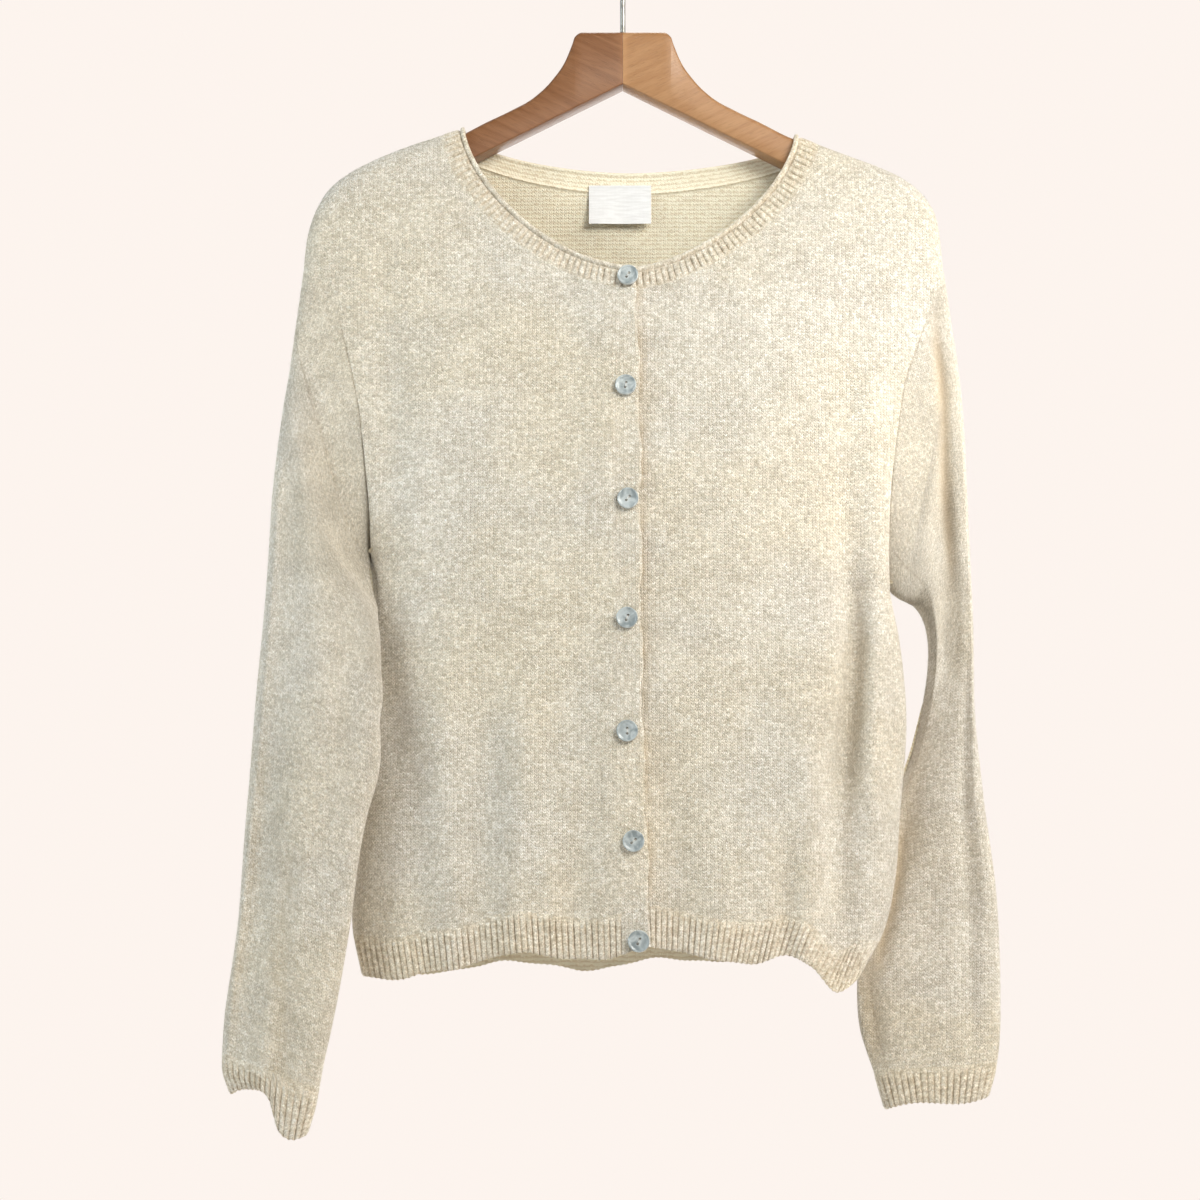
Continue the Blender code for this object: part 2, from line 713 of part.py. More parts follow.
def ribbed_object(name, sheet, pitch):
    """A ribbed band: raised ribs across the outer face, over a plain inner face."""
    grid = sheet.trimmed()
    normals = sheet.normals
    inner = grid - normals * WALL
    coarse = grid.shape[1]
    if sheet.closed:
        grid = np.concatenate([grid, grid[:, :1]], axis=1)
        normals = np.concatenate([normals, normals[:, :1]], axis=1)
    widths = np.linalg.norm(np.diff(grid[0], axis=0), axis=1)
    ribs = np.maximum(np.round(widths / pitch), 1).astype(int)
    outer = []
    starts = []
    for span, count in enumerate(ribs):
        starts.append(len(outer))
        for step in range(2 * count):
            part = step / (2 * count)
            point = grid[:, span] * (1 - part) + grid[:, span + 1] * part
            facing = unit(normals[:, span] * (1 - part) + normals[:, span + 1] * part)
            outer.append(point + facing * RIB_RISE * (step % 2))
    starts.append(len(outer))
    if not sheet.closed:
        outer.append(grid[:, -1])
    outer = np.stack(outer, axis=1)
    rows, fine = outer.shape[:2]
    points = np.concatenate([outer.reshape(-1, 3), inner.reshape(-1, 3)])

    def out_at(row, col):
        return row * fine + col % fine

    def in_at(row, col):
        return rows * fine + row * coarse + col % coarse

    faces = []
    for row in range(rows - 1):
        for col in range(starts[-1]):
            ring = (out_at(row, col), out_at(row, col + 1), out_at(row + 1, col + 1), out_at(row + 1, col))
            faces.append(ring)
        for col in range(len(ribs)):
            ring = (in_at(row, col), in_at(row + 1, col), in_at(row + 1, col + 1), in_at(row, col + 1))
            faces.append(ring)
    for col in range(len(ribs)):
        for row in (0, rows - 1):
            outside = [out_at(row, place) for place in range(starts[col], starts[col + 1] + 1)]
            faces += rim_faces(points, outside, in_at(row, col), in_at(row, col + 1), row == 0)
    if not sheet.closed:
        for row in range(rows - 1):
            for col, inner_col in ((0, 0), (fine - 1, coarse - 1)):
                outside = (out_at(row, col), out_at(row + 1, col))
                under = in_at(row, inner_col), in_at(row + 1, inner_col)
                faces += rim_faces(points, outside, *under, col > 0)
    return mesh_object(name, points, faces, "wool")


def body_outward(grid):
    """Rough outward directions for the body: away from the middle plane."""
    outward = np.zeros_like(grid)
    outward[..., 1] = grid[..., 1]
    return outward


def body_sheet(face, x, drop, lapped=False):
    grid = on_body(face, x, drop, lapped)
    return Sheet(grid, body_outward(grid))


def joined(right, left):
    """One row set across both halves of the back, from the right side to the left side."""
    return tuple(
        np.concatenate([half_right[:, ::-1], half_left[:, 1:]], axis=1)
        for half_right, half_left in zip(right, left)
    )


def ring_points(half, place, turns):
    """A sleeve ring at a fractional row of its table. Turn 0 is the outer edge, then the front."""
    table = SLEEVE[half]
    rows = np.arange(len(table), dtype=float)
    values = {name: smooth_curve(rows, column(table, name), place) for name in Ring._fields}
    wide = np.sign(np.cos(turns)) * np.abs(np.cos(turns)) ** SLEEVE_POWER
    deep = np.sign(np.sin(turns)) * np.abs(np.sin(turns)) ** SLEEVE_POWER
    part = (1 - wide) / 2
    out = values["out_x"] + (values["in_x"] - values["out_x"]) * part
    y = values["out_y"] + (values["in_y"] - values["out_y"]) * part
    drop = values["out_drop"] + (values["in_drop"] - values["out_drop"]) * part
    centred = (turns + math.pi) % (2 * math.pi) - math.pi
    rise = np.zeros_like(turns)
    for tuck in TUCKS[half]:
        starts = ease((place - tuck.first) / 1.5)
        ends = ease((tuck.last - place) / 1.5)
        rise += tuck.height * starts * ends * np.exp(-(((centred - tuck.angle) / tuck.spread) ** 2))
    y = y - values["thick"] * deep - np.sign(deep) * rise
    if place > len(table) - 2:
        drop = drop + CUFF_WAVE[half] * (place - len(table) + 2) * np.sin(2 * math.pi * part)
    return np.stack([SIGN[half] * out, y, -drop], -1)


def armhole_loop(half, turns):
    """The sleeve's first ring, which lies along the panels' sleeve seam."""
    top, foot = ARMHOLE[half][0].drop, armpit_drop(half)
    drop = top + (foot - top) * (1 - np.cos(turns)) / 2
    x = SIGN[half] * side_out(half, drop)
    depth = np.where(np.sin(turns) < 0, stand_off("back", x, drop), -stand_off("front", x, drop))
    return np.stack([x, depth, -drop], -1)


def ring_outward(grid):
    return grid - grid.mean(axis=1, keepdims=True)


def sleeve_sheets(half):
    turns = np.arange(AROUND) * 2 * math.pi / AROUND
    seam = len(SLEEVE[half]) - 2
    places = np.linspace(0, seam, SLEEVE_STEPS)
    rings = [armhole_loop(half, turns)] + [ring_points(half, place, turns) for place in places]
    sleeve = np.stack(rings)
    cuff = np.stack([ring_points(half, place, turns) for place in (seam, seam + 1.0)])
    sleeve = Sheet(sleeve, ring_outward(sleeve), True)
    nearness = np.exp(-(((turns - math.pi) / ARMPIT_SPREAD) ** 2))
    fading = np.linspace(1, 0, SLEEVE_STEPS + 1)[:, None]
    sleeve.wall -= WALL * ARMPIT_THIN * fading * nearness
    return sleeve, Sheet(cuff, ring_outward(cuff), True)


def neckband_sheet():
    """The strip from the right front's edge round the neck to the left front's, ends lapped."""
    grids = []
    for grow in (NECKBAND, NECKBAND / 2, 0.0):
        row = []
        middle_drop = NECK_DROP["front"] + NECKBAND
        ends = [placket_edge(half, middle_drop) for half in ("left", "right")]
        over = np.linspace(ends[0], ends[1], 4)
        right_angles = neck_angles("front", "right")
        left_angles = neck_angles("front", "left")[::-1]
        back_right = neck_angles("back", "right")[::-1]
        back_left = neck_angles("back", "left")
        lap = [band_end(x, grow) for x in over[:-1]]
        row += [on_body("front", x, drop, True) for x, drop in lap]
        row += list(on_body("front", *neck_curve("front", "right", right_angles, grow), True))
        row += list(on_body("back", *neck_curve("back", "right", back_right, grow)))[1:]
        row += list(on_body("back", *neck_curve("back", "left", back_left, grow)))[1:]
        row += list(on_body("front", *neck_curve("front", "left", left_angles, grow)))[1:]
        under = [band_end(x, grow) for x in over[1:]]
        row += [on_body("front", x, drop) for x, drop in under]
        grids.append(np.stack(row))
    grid = np.stack(grids)
    return Sheet(grid, body_outward(grid)), len(over) - 1


def band_end(x, grow):
    """Where the neckband's lapped ends lie, at this x of the button bands' top."""
    half = "left" if x > NECK_SHIFT else "right"
    angle = neck_angle_at(half, x)
    return neck_curve("front", half, angle, grow)


def placket_sheet(front, rib, half, lapped):
    """A button band, with a row for each row of the front's edge beside it."""
    beside = -np.concatenate([front.grid[:, 0, 2], rib.grid[1:, 0, 2]])
    rows = (beside - beside[0]) / (beside[-1] - beside[0])
    across = np.array([-1.0, 0.0, 1.0]) * PLACKET / 2
    start_x = placket_x(beside[0]) + across
    start = np.array([band_end(x, NECKBAND)[1] for x in start_x])
    foot_x = placket_x(beside[-1]) + across
    foot = read_table(HEM["front"], "x", "drop", foot_x)
    drop = start + (foot - start) * rows[:, None]
    edge = 0 if half == "right" else 2
    drop[:, edge] = beside
    x = placket_x(drop) + across
    placket = body_sheet("front", x, drop, lapped)
    share_normals((front, (slice(None), 0)), (placket, (slice(0, len(front.grid)), edge)))
    share_normals((rib, (slice(1, None), 0)), (placket, (slice(len(front.grid), None), edge)))
    return placket


def make_body():
    grids = {
        (face, half): half_panel(face, half) for face in ("front", "back") for half in SIGN
    }
    right = body_sheet("front", *grids["front", "right"][0], True)
    left = body_sheet("front", *grids["front", "left"][0])
    back = body_sheet("back", *joined(grids["back", "right"][0], grids["back", "left"][0]))
    right_rib = body_sheet("front", *grids["front", "right"][1], True)
    left_rib = body_sheet("front", *grids["front", "left"][1])
    back_rib = body_sheet("back", *joined(grids["back", "right"][1], grids["back", "left"][1]))
    neckband, lapped = neckband_sheet()
    sleeves = {half: sleeve_sheets(half) for half in SIGN}

    columns = right.grid.shape[1]
    shoulder_steps = SHOULDER_STEPS + len(TIP_INSETS) - 1
    neck = columns - shoulder_steps
    back_neck = slice(shoulder_steps, 2 * columns - 1 - shoulder_steps)
    first = lapped + neck
    second = first + 2 * neck - 2
    band = {
        "right": (0, slice(lapped, first)),
        "back": (0, slice(first - 1, second)),
        "left": (0, slice(second - 1, second + neck - 1)),
    }
    share_normals((right, (0, slice(0, neck))), (neckband, band["right"]))
    share_normals((back, (0, back_neck)), (neckband, band["back"]))
    share_normals((left, (0, slice(neck - 1, None, -1))), (neckband, band["left"]))
    for front, half in ((right, "right"), (left, "left")):
        sleeve, cuff = sleeves[half]
        shoulder = slice(neck - 1, columns)
        if half == "right":
            behind = slice(shoulder_steps, None, -1)
            side, corner, band_corner = 0, shoulder_steps, first - 1
        else:
            behind = slice(2 * columns - 2 - shoulder_steps, 2 * columns - 1)
            side, corner, band_corner = 2 * columns - 2, behind.start, second - 1
        share_normals((front, (0, shoulder)), (back, (0, behind)))
        share_normals((front, (0, neck - 1)), (back, (0, corner)), (neckband, (0, band_corner)))
        armpit = TIP_STEPS + ARMHOLE_STEPS
        for rows in (slice(1, TIP_STEPS), slice(armpit + 1, None)):
            share_normals((front, (rows, columns - 1)), (back, (rows, side)))
        hole = slice(TIP_STEPS + 1, armpit)
        share_normals((front, (hole, columns - 1)), (sleeve, (0, slice(1, ARMHOLE_STEPS))))
        behind_hole = slice(AROUND - 1, ARMHOLE_STEPS, -1)
        share_normals((back, (hole, side)), (sleeve, (0, behind_hole)))
        for row, turn in ((TIP_STEPS, 0), (armpit, ARMHOLE_STEPS)):
            meeting = [(front, (row, columns - 1)), (back, (row, side)), (sleeve, (0, turn))]
            share_normals(*meeting)
        share_normals((sleeve, (-1,)), (cuff, (0,)))
        rib = right_rib if half == "right" else left_rib
        share_normals((rib, (slice(None), columns - 1)), (back_rib, (slice(None), side)))
    right_placket = placket_sheet(right, right_rib, "right", True)
    left_placket = placket_sheet(left, left_rib, "left", False)
    share_normals((right, (-1,)), (right_rib, (0,)))
    share_normals((left, (-1,)), (left_rib, (0,)))
    share_normals((back, (-1,)), (back_rib, (0,)))

    wall_object("placket_right", right_placket)
    wall_object("placket_left", left_placket)
    wall_object("front_right", right)
    wall_object("front_left", left)
    wall_object("back_panel", back)
    ribbed_object("hem_rib_front_right", right_rib, BODY_RIB)
    ribbed_object("hem_rib_front_left", left_rib, BODY_RIB)
    ribbed_object("hem_rib_back", back_rib, BODY_RIB)
    ribbed_object("neckband", neckband, NECK_RIB)
    for half in SIGN:
        sleeve, cuff = sleeves[half]
        wall_object("sleeve_" + half, sleeve)
        ribbed_object("cuff_" + half, cuff, CUFF_RIB)


def turned_disc(profile, sides):
    """Points and faces of a disc turned round the Z axis, closed at both ends of its profile."""
    points = [(0.0, 0.0, profile[0][1])]
    for radius, height in profile[1:-1]:
        for side in range(sides):
            angle = 2 * math.pi * side / sides
            points.append((radius * math.cos(angle), radius * math.sin(angle), height))
    points.append((0.0, 0.0, profile[-1][1]))
    rings = len(profile) - 2
    last = len(points) - 1
    faces = []
    for side in range(sides):
        after = (side + 1) % sides
        faces.append((0, 1 + side, 1 + after))
        for ring in range(rings - 1):
            a = 1 + ring * sides
            faces.append((a + side, a + sides + side, a + sides + after, a + after))
        a = 1 + (rings - 1) * sides
        faces.append((a + after, a + side, last))
    return points, faces


def button_mesh():
    """A dished disc with two holes for the thread."""
    profile = (
        (0.0, 0.0014),
        (0.0046, 0.0014),
        (0.0059, 0.0021),
        (BUTTON_RADIUS, 0.0015),
        (0.0063, 0.0),
        (0.0, 0.0),
    )
    disc = mesh_object("button_blank", *turned_disc(profile, BUTTON_SIDES), "shell")
    for side in (-1, 1):
        drill_profile = ((0, 0.01), (HOLE_RADIUS, 0.01), (HOLE_RADIUS, -0.01), (0, -0.01))
        drill = mesh_object("button_drill", *turned_disc(drill_profile, 6), "shell")
        drill.location = (side * HOLE_OFFSET * 0.5, side * HOLE_OFFSET * 0.87, 0)
        drill.hide_render = True
        drill.display_type = "WIRE"
        cut = disc.modifiers.new("thread_hole", "BOOLEAN")
        cut.operation = "DIFFERENCE"
        cut.object = drill
    bpy.context.view_layer.update()
    graph = bpy.context.evaluated_depsgraph_get()
    mesh = bpy.data.meshes.new_from_object(disc.evaluated_get(graph))
    mesh.name = "two_hole_button"
    for helper in [disc] + [cut.object for cut in disc.modifiers]:
        bpy.data.objects.remove(helper)
    mesh.shade_smooth()
    mesh.set_sharp_from_angle(angle=math.radians(35))
    return mesh


def make_buttons():
    """Seven buttons on the right front's band, each lying flat on the cloth under it."""
    mesh = button_mesh()
    for number, place in enumerate(BUTTONS, 1):
        span = np.array([[-0.004, 0.0, 0.004]])
        x = place.x + span + np.zeros((3, 1))
        drop = place.drop + span.T + np.zeros((1, 3))
        patch = on_body("front", x, drop, True)
        sheet = Sheet(patch, body_outward(patch))
        normal = sheet.normals[1, 1]
        highest = RIB_RISE if number == 1 else 0.0
        made = bpy.data.objects.new(f"button_{number}", mesh)
        made.location = patch[1, 1] + normal * (highest + SEAM_GAP + 0.0002)
        tilt = math.asin(-normal[2])
        turn = math.atan2(normal[0], -normal[1])
        made.rotation_euler = (math.pi / 2 + tilt, 0.0, turn)
        bpy.context.scene.collection.objects.link(made)


def make_label():
    """A blank woven label on the inside of the back, hung from the neckband."""
    x = np.linspace(LABEL_LEFT, LABEL_RIGHT, 5) + np.zeros((4, 1))
    drop = np.linspace(LABEL_TOP, LABEL_FOOT, 4)[:, None] + np.zeros((1, 5))
    grid = on_body("back", x, drop)
    sheet = Sheet(grid, body_outward(grid))
    sheet.grid = sheet.grid - sheet.normals * (WALL + LABEL_CLEAR)
    sheet.wall[:] = LABEL_WALL
    wall_object("neck_label", sheet, "woven_label")


def arm_section(section, sign):
    """A rounded outline across the arm: the top is fully round, the foot has small rounds."""
    middle = section.top + section.half_thick
    points = []
    for turn in np.linspace(-90, 90, 7):
        angle = math.radians(turn)
        points.append((section.half_thick * math.sin(angle), middle - section.half_thick * math.cos(angle)))
    for side in (1, -1):
        turns = (90, 45, 0) if side == 1 else (0, 45, 90)
        for turn in turns:
            angle = math.radians(turn)
            inset = min(ARM_ROUND, section.half_thick * 0.6)
            y = side * (section.half_thick - inset + inset * math.sin(angle))
            points.append((y, section.foot - inset + inset * math.cos(angle)))
    return [(sign * section.out, y, -drop) for y, drop in points]


def make_hanger_arm(half):
    """Half of the wooden hanger, from the mitre in the middle to its tip."""
    sign = SIGN[half]
    start = ARM[0]._replace(out=SEAM_GAP / 2)
    sections = [arm_section(section, sign) for section in (start,) + ARM[1:]]
    count = len(sections[0])
    points = [point for section in sections for point in section]
    faces = [tuple(range(count)), tuple(reversed(range(len(points) - count, len(points))))]
    for ring in range(len(sections) - 1):
        for side in range(count):
            a = ring * count + side
            b = ring * count + (side + 1) % count
            faces.append((b, a, a + count, b + count))
    wood = "dark_wood" if half == "right" else "light_wood"
    return mesh_object("hanger_arm_" + half, points, faces, wood)


def hook_route():
    """The wire's middle line: round the rail from its tip, over the crown and down to the block."""
    centre = WIRE - HOOK_RADIUS
    turns = np.radians(np.linspace(200, -62, 24))
    points = [(HOOK_RADIUS * math.cos(turn), centre + HOOK_RADIUS * math.sin(turn)) for turn in turns]
    last_x, last_z = points[-1]
    foot = -BLOCK_TOP + SEAM_GAP
    bend_foot = last_z - 0.016
    for part in np.linspace(0, 1, 6)[1:]:
        points.append((last_x * (1 - ease(part)), last_z + (bend_foot - last_z) * part))
    points.append((0.0, (bend_foot + foot) / 2))
    points.append((0.0, foot))
    return points


def make_hook():
    curve = bpy.data.curves.new("hanger_hook", "CURVE")
    curve.dimensions = "3D"
    curve.bevel_depth = WIRE
    curve.bevel_resolution = 2
    curve.use_fill_caps = True
    route = hook_route()
    line = curve.splines.new("POLY")
    line.points.add(len(route) - 1)
    for point, (x, z) in zip(line.points, route):
        point.co = (x, 0.0, z, 1.0)
    curve.materials.append(material_named("wire"))
    made = bpy.data.objects.new("hanger_hook", curve)
    bpy.context.scene.collection.objects.link(made)


clear_scene()
make_body()
make_buttons()
make_label()
for wearer_half in SIGN:
    make_hanger_arm(wearer_half)
make_hook()
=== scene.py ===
import math
from collections import namedtuple

import bmesh
import bpy
import numpy as np
from mathutils import Euler, Matrix, Vector


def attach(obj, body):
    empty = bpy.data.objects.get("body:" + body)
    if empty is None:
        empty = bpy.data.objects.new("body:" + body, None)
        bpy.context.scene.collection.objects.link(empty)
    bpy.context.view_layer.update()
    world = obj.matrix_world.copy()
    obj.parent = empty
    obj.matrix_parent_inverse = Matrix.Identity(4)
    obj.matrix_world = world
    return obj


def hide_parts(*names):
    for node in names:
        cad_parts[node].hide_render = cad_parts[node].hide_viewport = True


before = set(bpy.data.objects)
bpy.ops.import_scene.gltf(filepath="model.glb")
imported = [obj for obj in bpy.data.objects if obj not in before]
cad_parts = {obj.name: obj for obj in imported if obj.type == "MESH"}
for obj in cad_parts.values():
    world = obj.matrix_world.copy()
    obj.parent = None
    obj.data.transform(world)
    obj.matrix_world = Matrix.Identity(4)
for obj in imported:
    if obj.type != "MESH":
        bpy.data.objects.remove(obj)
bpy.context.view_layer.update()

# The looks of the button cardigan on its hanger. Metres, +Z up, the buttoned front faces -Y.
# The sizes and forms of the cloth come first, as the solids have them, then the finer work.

bpy.ops.object.select_all(action="DESELECT")

# Cloth
WALL = 0.0022
SEAM_GAP = 0.0003
LAP_RISE = 0.0035
LAP_BLEND = 0.030

# Neck: two rounded V curves, one over the chest and one over the back
NECK_SHIFT = 0.0044
NECK_HALF = 0.1114
NECK_DROP = {"front": 0.2533, "back": 0.1765}
NECK_POWER = {"front": 1.25, "back": 1.18}
NECKBAND = 0.0160
NECK_SHOULDER_ANGLES = {"front": (0.21, 0.12, 0.06, 0.025, 0.0), "back": (0.44, 0.25, 0.13, 0.055, 0.0)}
NECK_STEPS = 6

# Body
SHOULDER_ROUND = 0.0125
SHOULDER_STEPS = 3
TIP_INSETS = (0.0105, 0.005, 0.0015, 0.0)
TIP_STEPS = 4
ARMHOLE_STEPS = 10
SIDE_STEPS = 5
ARMPIT_CLOSING = 0.09
SIDE_CLOSING = 0.10
SIDE_POWER = 2.6
HEM_RIB = 0.026
COLUMN_PULL = 0.10
CORNER_SPREAD = 0.035
CENTRE_BACK_FOOT = -0.004
ROW_DROPS = (0.0, 0.0015, 0.005, 0.0105, 0.018, 0.028, 0.040, 0.056, 0.075, 0.097, 0.121, 0.147, 0.173, 0.200)

# Button bands and buttons
PLACKET = 0.018
BUTTON_RADIUS = 0.0069

# Label
LABEL_LEFT, LABEL_RIGHT = -0.0230, 0.0192
LABEL_TOP, LABEL_FOOT = 0.1850, 0.2115
LABEL_CLEAR = 0.0006

# Sleeves
SLEEVE_POWER = 0.8
CUFF_RIB = 0.0042
BODY_RIB = 0.0044
NECK_RIB = 0.0046

# Hanger
BLOCK_TOP = 0.0830
WIRE = 0.0018
HOOK_RADIUS = 0.0202 + WIRE

Spot = namedtuple("Spot", "out drop")
Hem = namedtuple("Hem", "x drop")
Depth = namedtuple("Depth", "drop front back edge")
Fold = namedtuple("Fold", "x_top x_foot drop_top drop_foot width height")
Ring = namedtuple("Ring", "out_x out_y out_drop in_x in_y in_drop thick")
Tuck = namedtuple("Tuck", "angle spread first last height")
Place = namedtuple("Place", "x drop")
Section = namedtuple("Section", "out top foot half_thick")

SIGN = {"right": -1, "left": 1}


def named(kind, table):
    """A table's rows, or those of each of its parts, with their columns named."""
    if isinstance(table, dict):
        return {part: named(kind, rows) for part, rows in table.items()}
    return tuple(kind(*row) for row in table)


# Outline of each half from the neck edge to the end of the shoulder
SHOULDER = named(Spot, {
    "right": (
        (0.1070, 0.1497), (0.1230, 0.1549), (0.1520, 0.1652), (0.1717, 0.1740), (0.1865, 0.1824),
        (0.1990, 0.1935),
    ),
    "left": (
        (0.1158, 0.1545), (0.1318, 0.1612), (0.1536, 0.1698), (0.1751, 0.1782), (0.1912, 0.1866),
        (0.2025, 0.1971),
    ),
})
# Outline past the end of the hanger, where the cloth still folds front to back
TIP = named(Spot, {
    "right": (
        (0.1990, 0.1935), (0.2070, 0.2076), (0.2118, 0.2229), (0.2140, 0.2400), (0.2145, 0.2500),
    ),
    "left": (
        (0.2025, 0.1971), (0.2097, 0.2085), (0.2128, 0.2243), (0.2142, 0.2400), (0.2150, 0.2510),
    ),
})
# Sleeve seam, top to armpit
ARMHOLE = named(Spot, {
    "right": (
        (0.2145, 0.2500), (0.2053, 0.2600), (0.1913, 0.2810), (0.1830, 0.3100), (0.1759, 0.3413),
        (0.1708, 0.3817), (0.1678, 0.4092), (0.1665, 0.4470),
    ),
    "left": (
        (0.2150, 0.2510), (0.2080, 0.2680), (0.1958, 0.3027), (0.1868, 0.3278), (0.1817, 0.3568),
        (0.1779, 0.3848), (0.1746, 0.4292), (0.1755, 0.4670),
    ),
})
# Side seam, armpit to hem
SIDE = named(Spot, {
    "right": (
        (0.1665, 0.4470), (0.1680, 0.5000), (0.1695, 0.5600), (0.1730, 0.6200), (0.1765, 0.6700),
        (0.1740, 0.7000), (0.1690, 0.7185),
    ),
    "left": (
        (0.1755, 0.4670), (0.1810, 0.4985), (0.1850, 0.5500), (0.1795, 0.6180), (0.1756, 0.6590),
        (0.1680, 0.6900), (0.1500, 0.7225),
    ),
})
HEM = named(Hem, {
    "front": (
        (-0.169, 0.7185), (-0.155, 0.7215), (-0.116, 0.7160), (-0.104, 0.7150), (-0.080, 0.7070),
        (-0.067, 0.7055), (-0.038, 0.7088), (-0.010, 0.7090), (0.017, 0.7015), (0.043, 0.7069),
        (0.087, 0.7113), (0.102, 0.7069), (0.119, 0.7138), (0.136, 0.7290), (0.150, 0.7225),
    ),
    "back": (
        (-0.169, 0.7185), (-0.109, 0.7135), (-0.082, 0.7076), (-0.065, 0.7080), (-0.020, 0.7135),
        (0.020, 0.7056), (0.060, 0.7080), (0.109, 0.7040), (0.132, 0.7135), (0.150, 0.7225),
    ),
})
# How far the front, the back and the edge at the sleeve stand off the middle plane
DEPTHS = named(Depth, (
    (0.140, 0.0125, 0.0125, 0.0125), (0.180, 0.0150, 0.0150, 0.0128), (0.220, 0.0210, 0.0200, 0.0132),
    (0.270, 0.0285, 0.0270, 0.0150), (0.340, 0.0360, 0.0330, 0.0200), (0.450, 0.0420, 0.0380, 0.0200),
    (0.580, 0.0460, 0.0420, 0.0200), (0.730, 0.0500, 0.0460, 0.0200),
))
FOLDS = named(Fold, {
    "front": (
        (-0.070, -0.066, 0.50, 0.80, 0.014, 0.004), (-0.090, -0.088, 0.52, 0.80, 0.014, -0.005),
        (0.150, 0.136, 0.36, 0.80, 0.013, -0.009), (0.100, 0.100, 0.60, 0.80, 0.008, -0.005),
        (0.028, 0.030, 0.55, 0.80, 0.014, -0.004), (-0.160, -0.150, 0.27, 0.62, 0.012, -0.006),
        (0.155, 0.150, 0.24, 0.40, 0.014, -0.004),
    ),
    "back": (
        (-0.105, -0.085, 0.34, 0.80, 0.018, 0.006), (-0.050, -0.045, 0.48, 0.80, 0.016, -0.005),
        (0.030, 0.035, 0.42, 0.80, 0.017, 0.005), (0.120, 0.100, 0.32, 0.80, 0.016, -0.007),
    ),
})
FOLD_FADE = 0.07
# Middle line of the button bands: it swings to the wearer's left near the hem
PLACKET_LINE = named(Place, (
    (-0.0010, 0.255), (0.0012, 0.337), (0.0022, 0.492), (0.0030, 0.565), (0.0055, 0.635), (0.0080, 0.730),
))
BUTTONS = named(Place, (
    (0.0030, 0.2612), (0.0012, 0.3370), (0.0026, 0.4130), (0.0019, 0.4917), (0.0018, 0.5650),
    (0.0055, 0.6354), (0.0088, 0.6985),
))
# A row for each ring of a sleeve below the seam; the last is the cuff's edge, the one before its seam
SLEEVE = named(Ring, {
    "right": (
        (0.2187, -0.001, 0.284, 0.1705, -0.002, 0.463, 0.017),
        (0.2222, -0.005, 0.318, 0.1730, -0.008, 0.480, 0.019),
        (0.2262, -0.010, 0.352, 0.1710, -0.018, 0.500, 0.020),
        (0.2300, -0.015, 0.400, 0.1640, -0.029, 0.523, 0.018),
        (0.2325, -0.018, 0.450, 0.1575, -0.038, 0.551, 0.016),
        (0.2358, -0.021, 0.505, 0.1560, -0.044, 0.585, 0.015),
        (0.2400, -0.021, 0.560, 0.1640, -0.044, 0.620, 0.014),
        (0.2438, -0.020, 0.620, 0.1710, -0.042, 0.660, 0.014),
        (0.2490, -0.019, 0.690, 0.1780, -0.038, 0.710, 0.014),
        (0.2563, -0.018, 0.767, 0.1925, -0.034, 0.790, 0.013),
        (0.2510, -0.018, 0.7935, 0.2000, -0.034, 0.819, 0.012),
    ),
    "left": (
        (0.2198, 0.001, 0.286, 0.1820, 0.001, 0.4720, 0.017),
        (0.2240, 0.004, 0.316, 0.1880, 0.006, 0.4740, 0.019),
        (0.2270, 0.008, 0.350, 0.1940, 0.012, 0.4760, 0.020),
        (0.2290, 0.012, 0.395, 0.2000, 0.016, 0.4860, 0.018),
        (0.2312, 0.017, 0.442, 0.2030, 0.021, 0.5050, 0.016),
        (0.2330, 0.021, 0.495, 0.2010, 0.028, 0.5330, 0.015),
        (0.2340, 0.024, 0.545, 0.1930, 0.036, 0.5680, 0.014),
        (0.2370, 0.025, 0.600, 0.1780, 0.043, 0.6100, 0.014),
        (0.2440, 0.025, 0.655, 0.1640, 0.046, 0.6550, 0.014),
        (0.2460, 0.024, 0.705, 0.1550, 0.043, 0.7100, 0.014),
        (0.2455, 0.022, 0.745, 0.1545, 0.038, 0.7480, 0.013),
        (0.2425, 0.020, 0.774, 0.1635, 0.034, 0.7790, 0.013),
        (0.2365, 0.020, 0.796, 0.1705, 0.034, 0.8040, 0.012),
    ),
})
CUFF_WAVE = {"right": -0.008, "left": 0.002}
# Long soft folds of a sleeve: angle round it from the outer edge, front positive, and its rings
TUCKS = named(Tuck, {
    "right": (
        (1.0, 0.32, 1.5, 9.5, -0.005), (-1.4, 0.40, 3.0, 9.0, 0.004),
    ),
    "left": (
        (1.65, 0.42, 0.7, 6.0, -0.008), (-1.2, 0.40, 3.0, 11.0, 0.004),
    ),
})
# One arm of the hanger, from the mitre at the middle to the rounded tip
ARM = named(Section, (
    (0.0000, 0.0830, 0.1204, 0.0085), (0.0290, 0.0830, 0.1353, 0.0085), (0.0325, 0.0865, 0.1371, 0.0085),
    (0.0386, 0.1025, 0.1402, 0.0085), (0.0480, 0.1170, 0.1451, 0.0085), (0.0600, 0.1290, 0.1513, 0.0085),
    (0.0760, 0.1385, 0.1595, 0.0085), (0.0930, 0.1470, 0.1682, 0.0085), (0.1090, 0.1556, 0.1764, 0.0085),
    (0.1320, 0.1648, 0.1870, 0.0085), (0.1540, 0.1736, 0.1965, 0.0085), (0.1720, 0.1820, 0.2040, 0.0085),
    (0.1840, 0.1900, 0.2080, 0.0080), (0.1900, 0.1960, 0.2070, 0.0060),
))


def column(rows, name):
    return np.array([getattr(row, name) for row in rows])


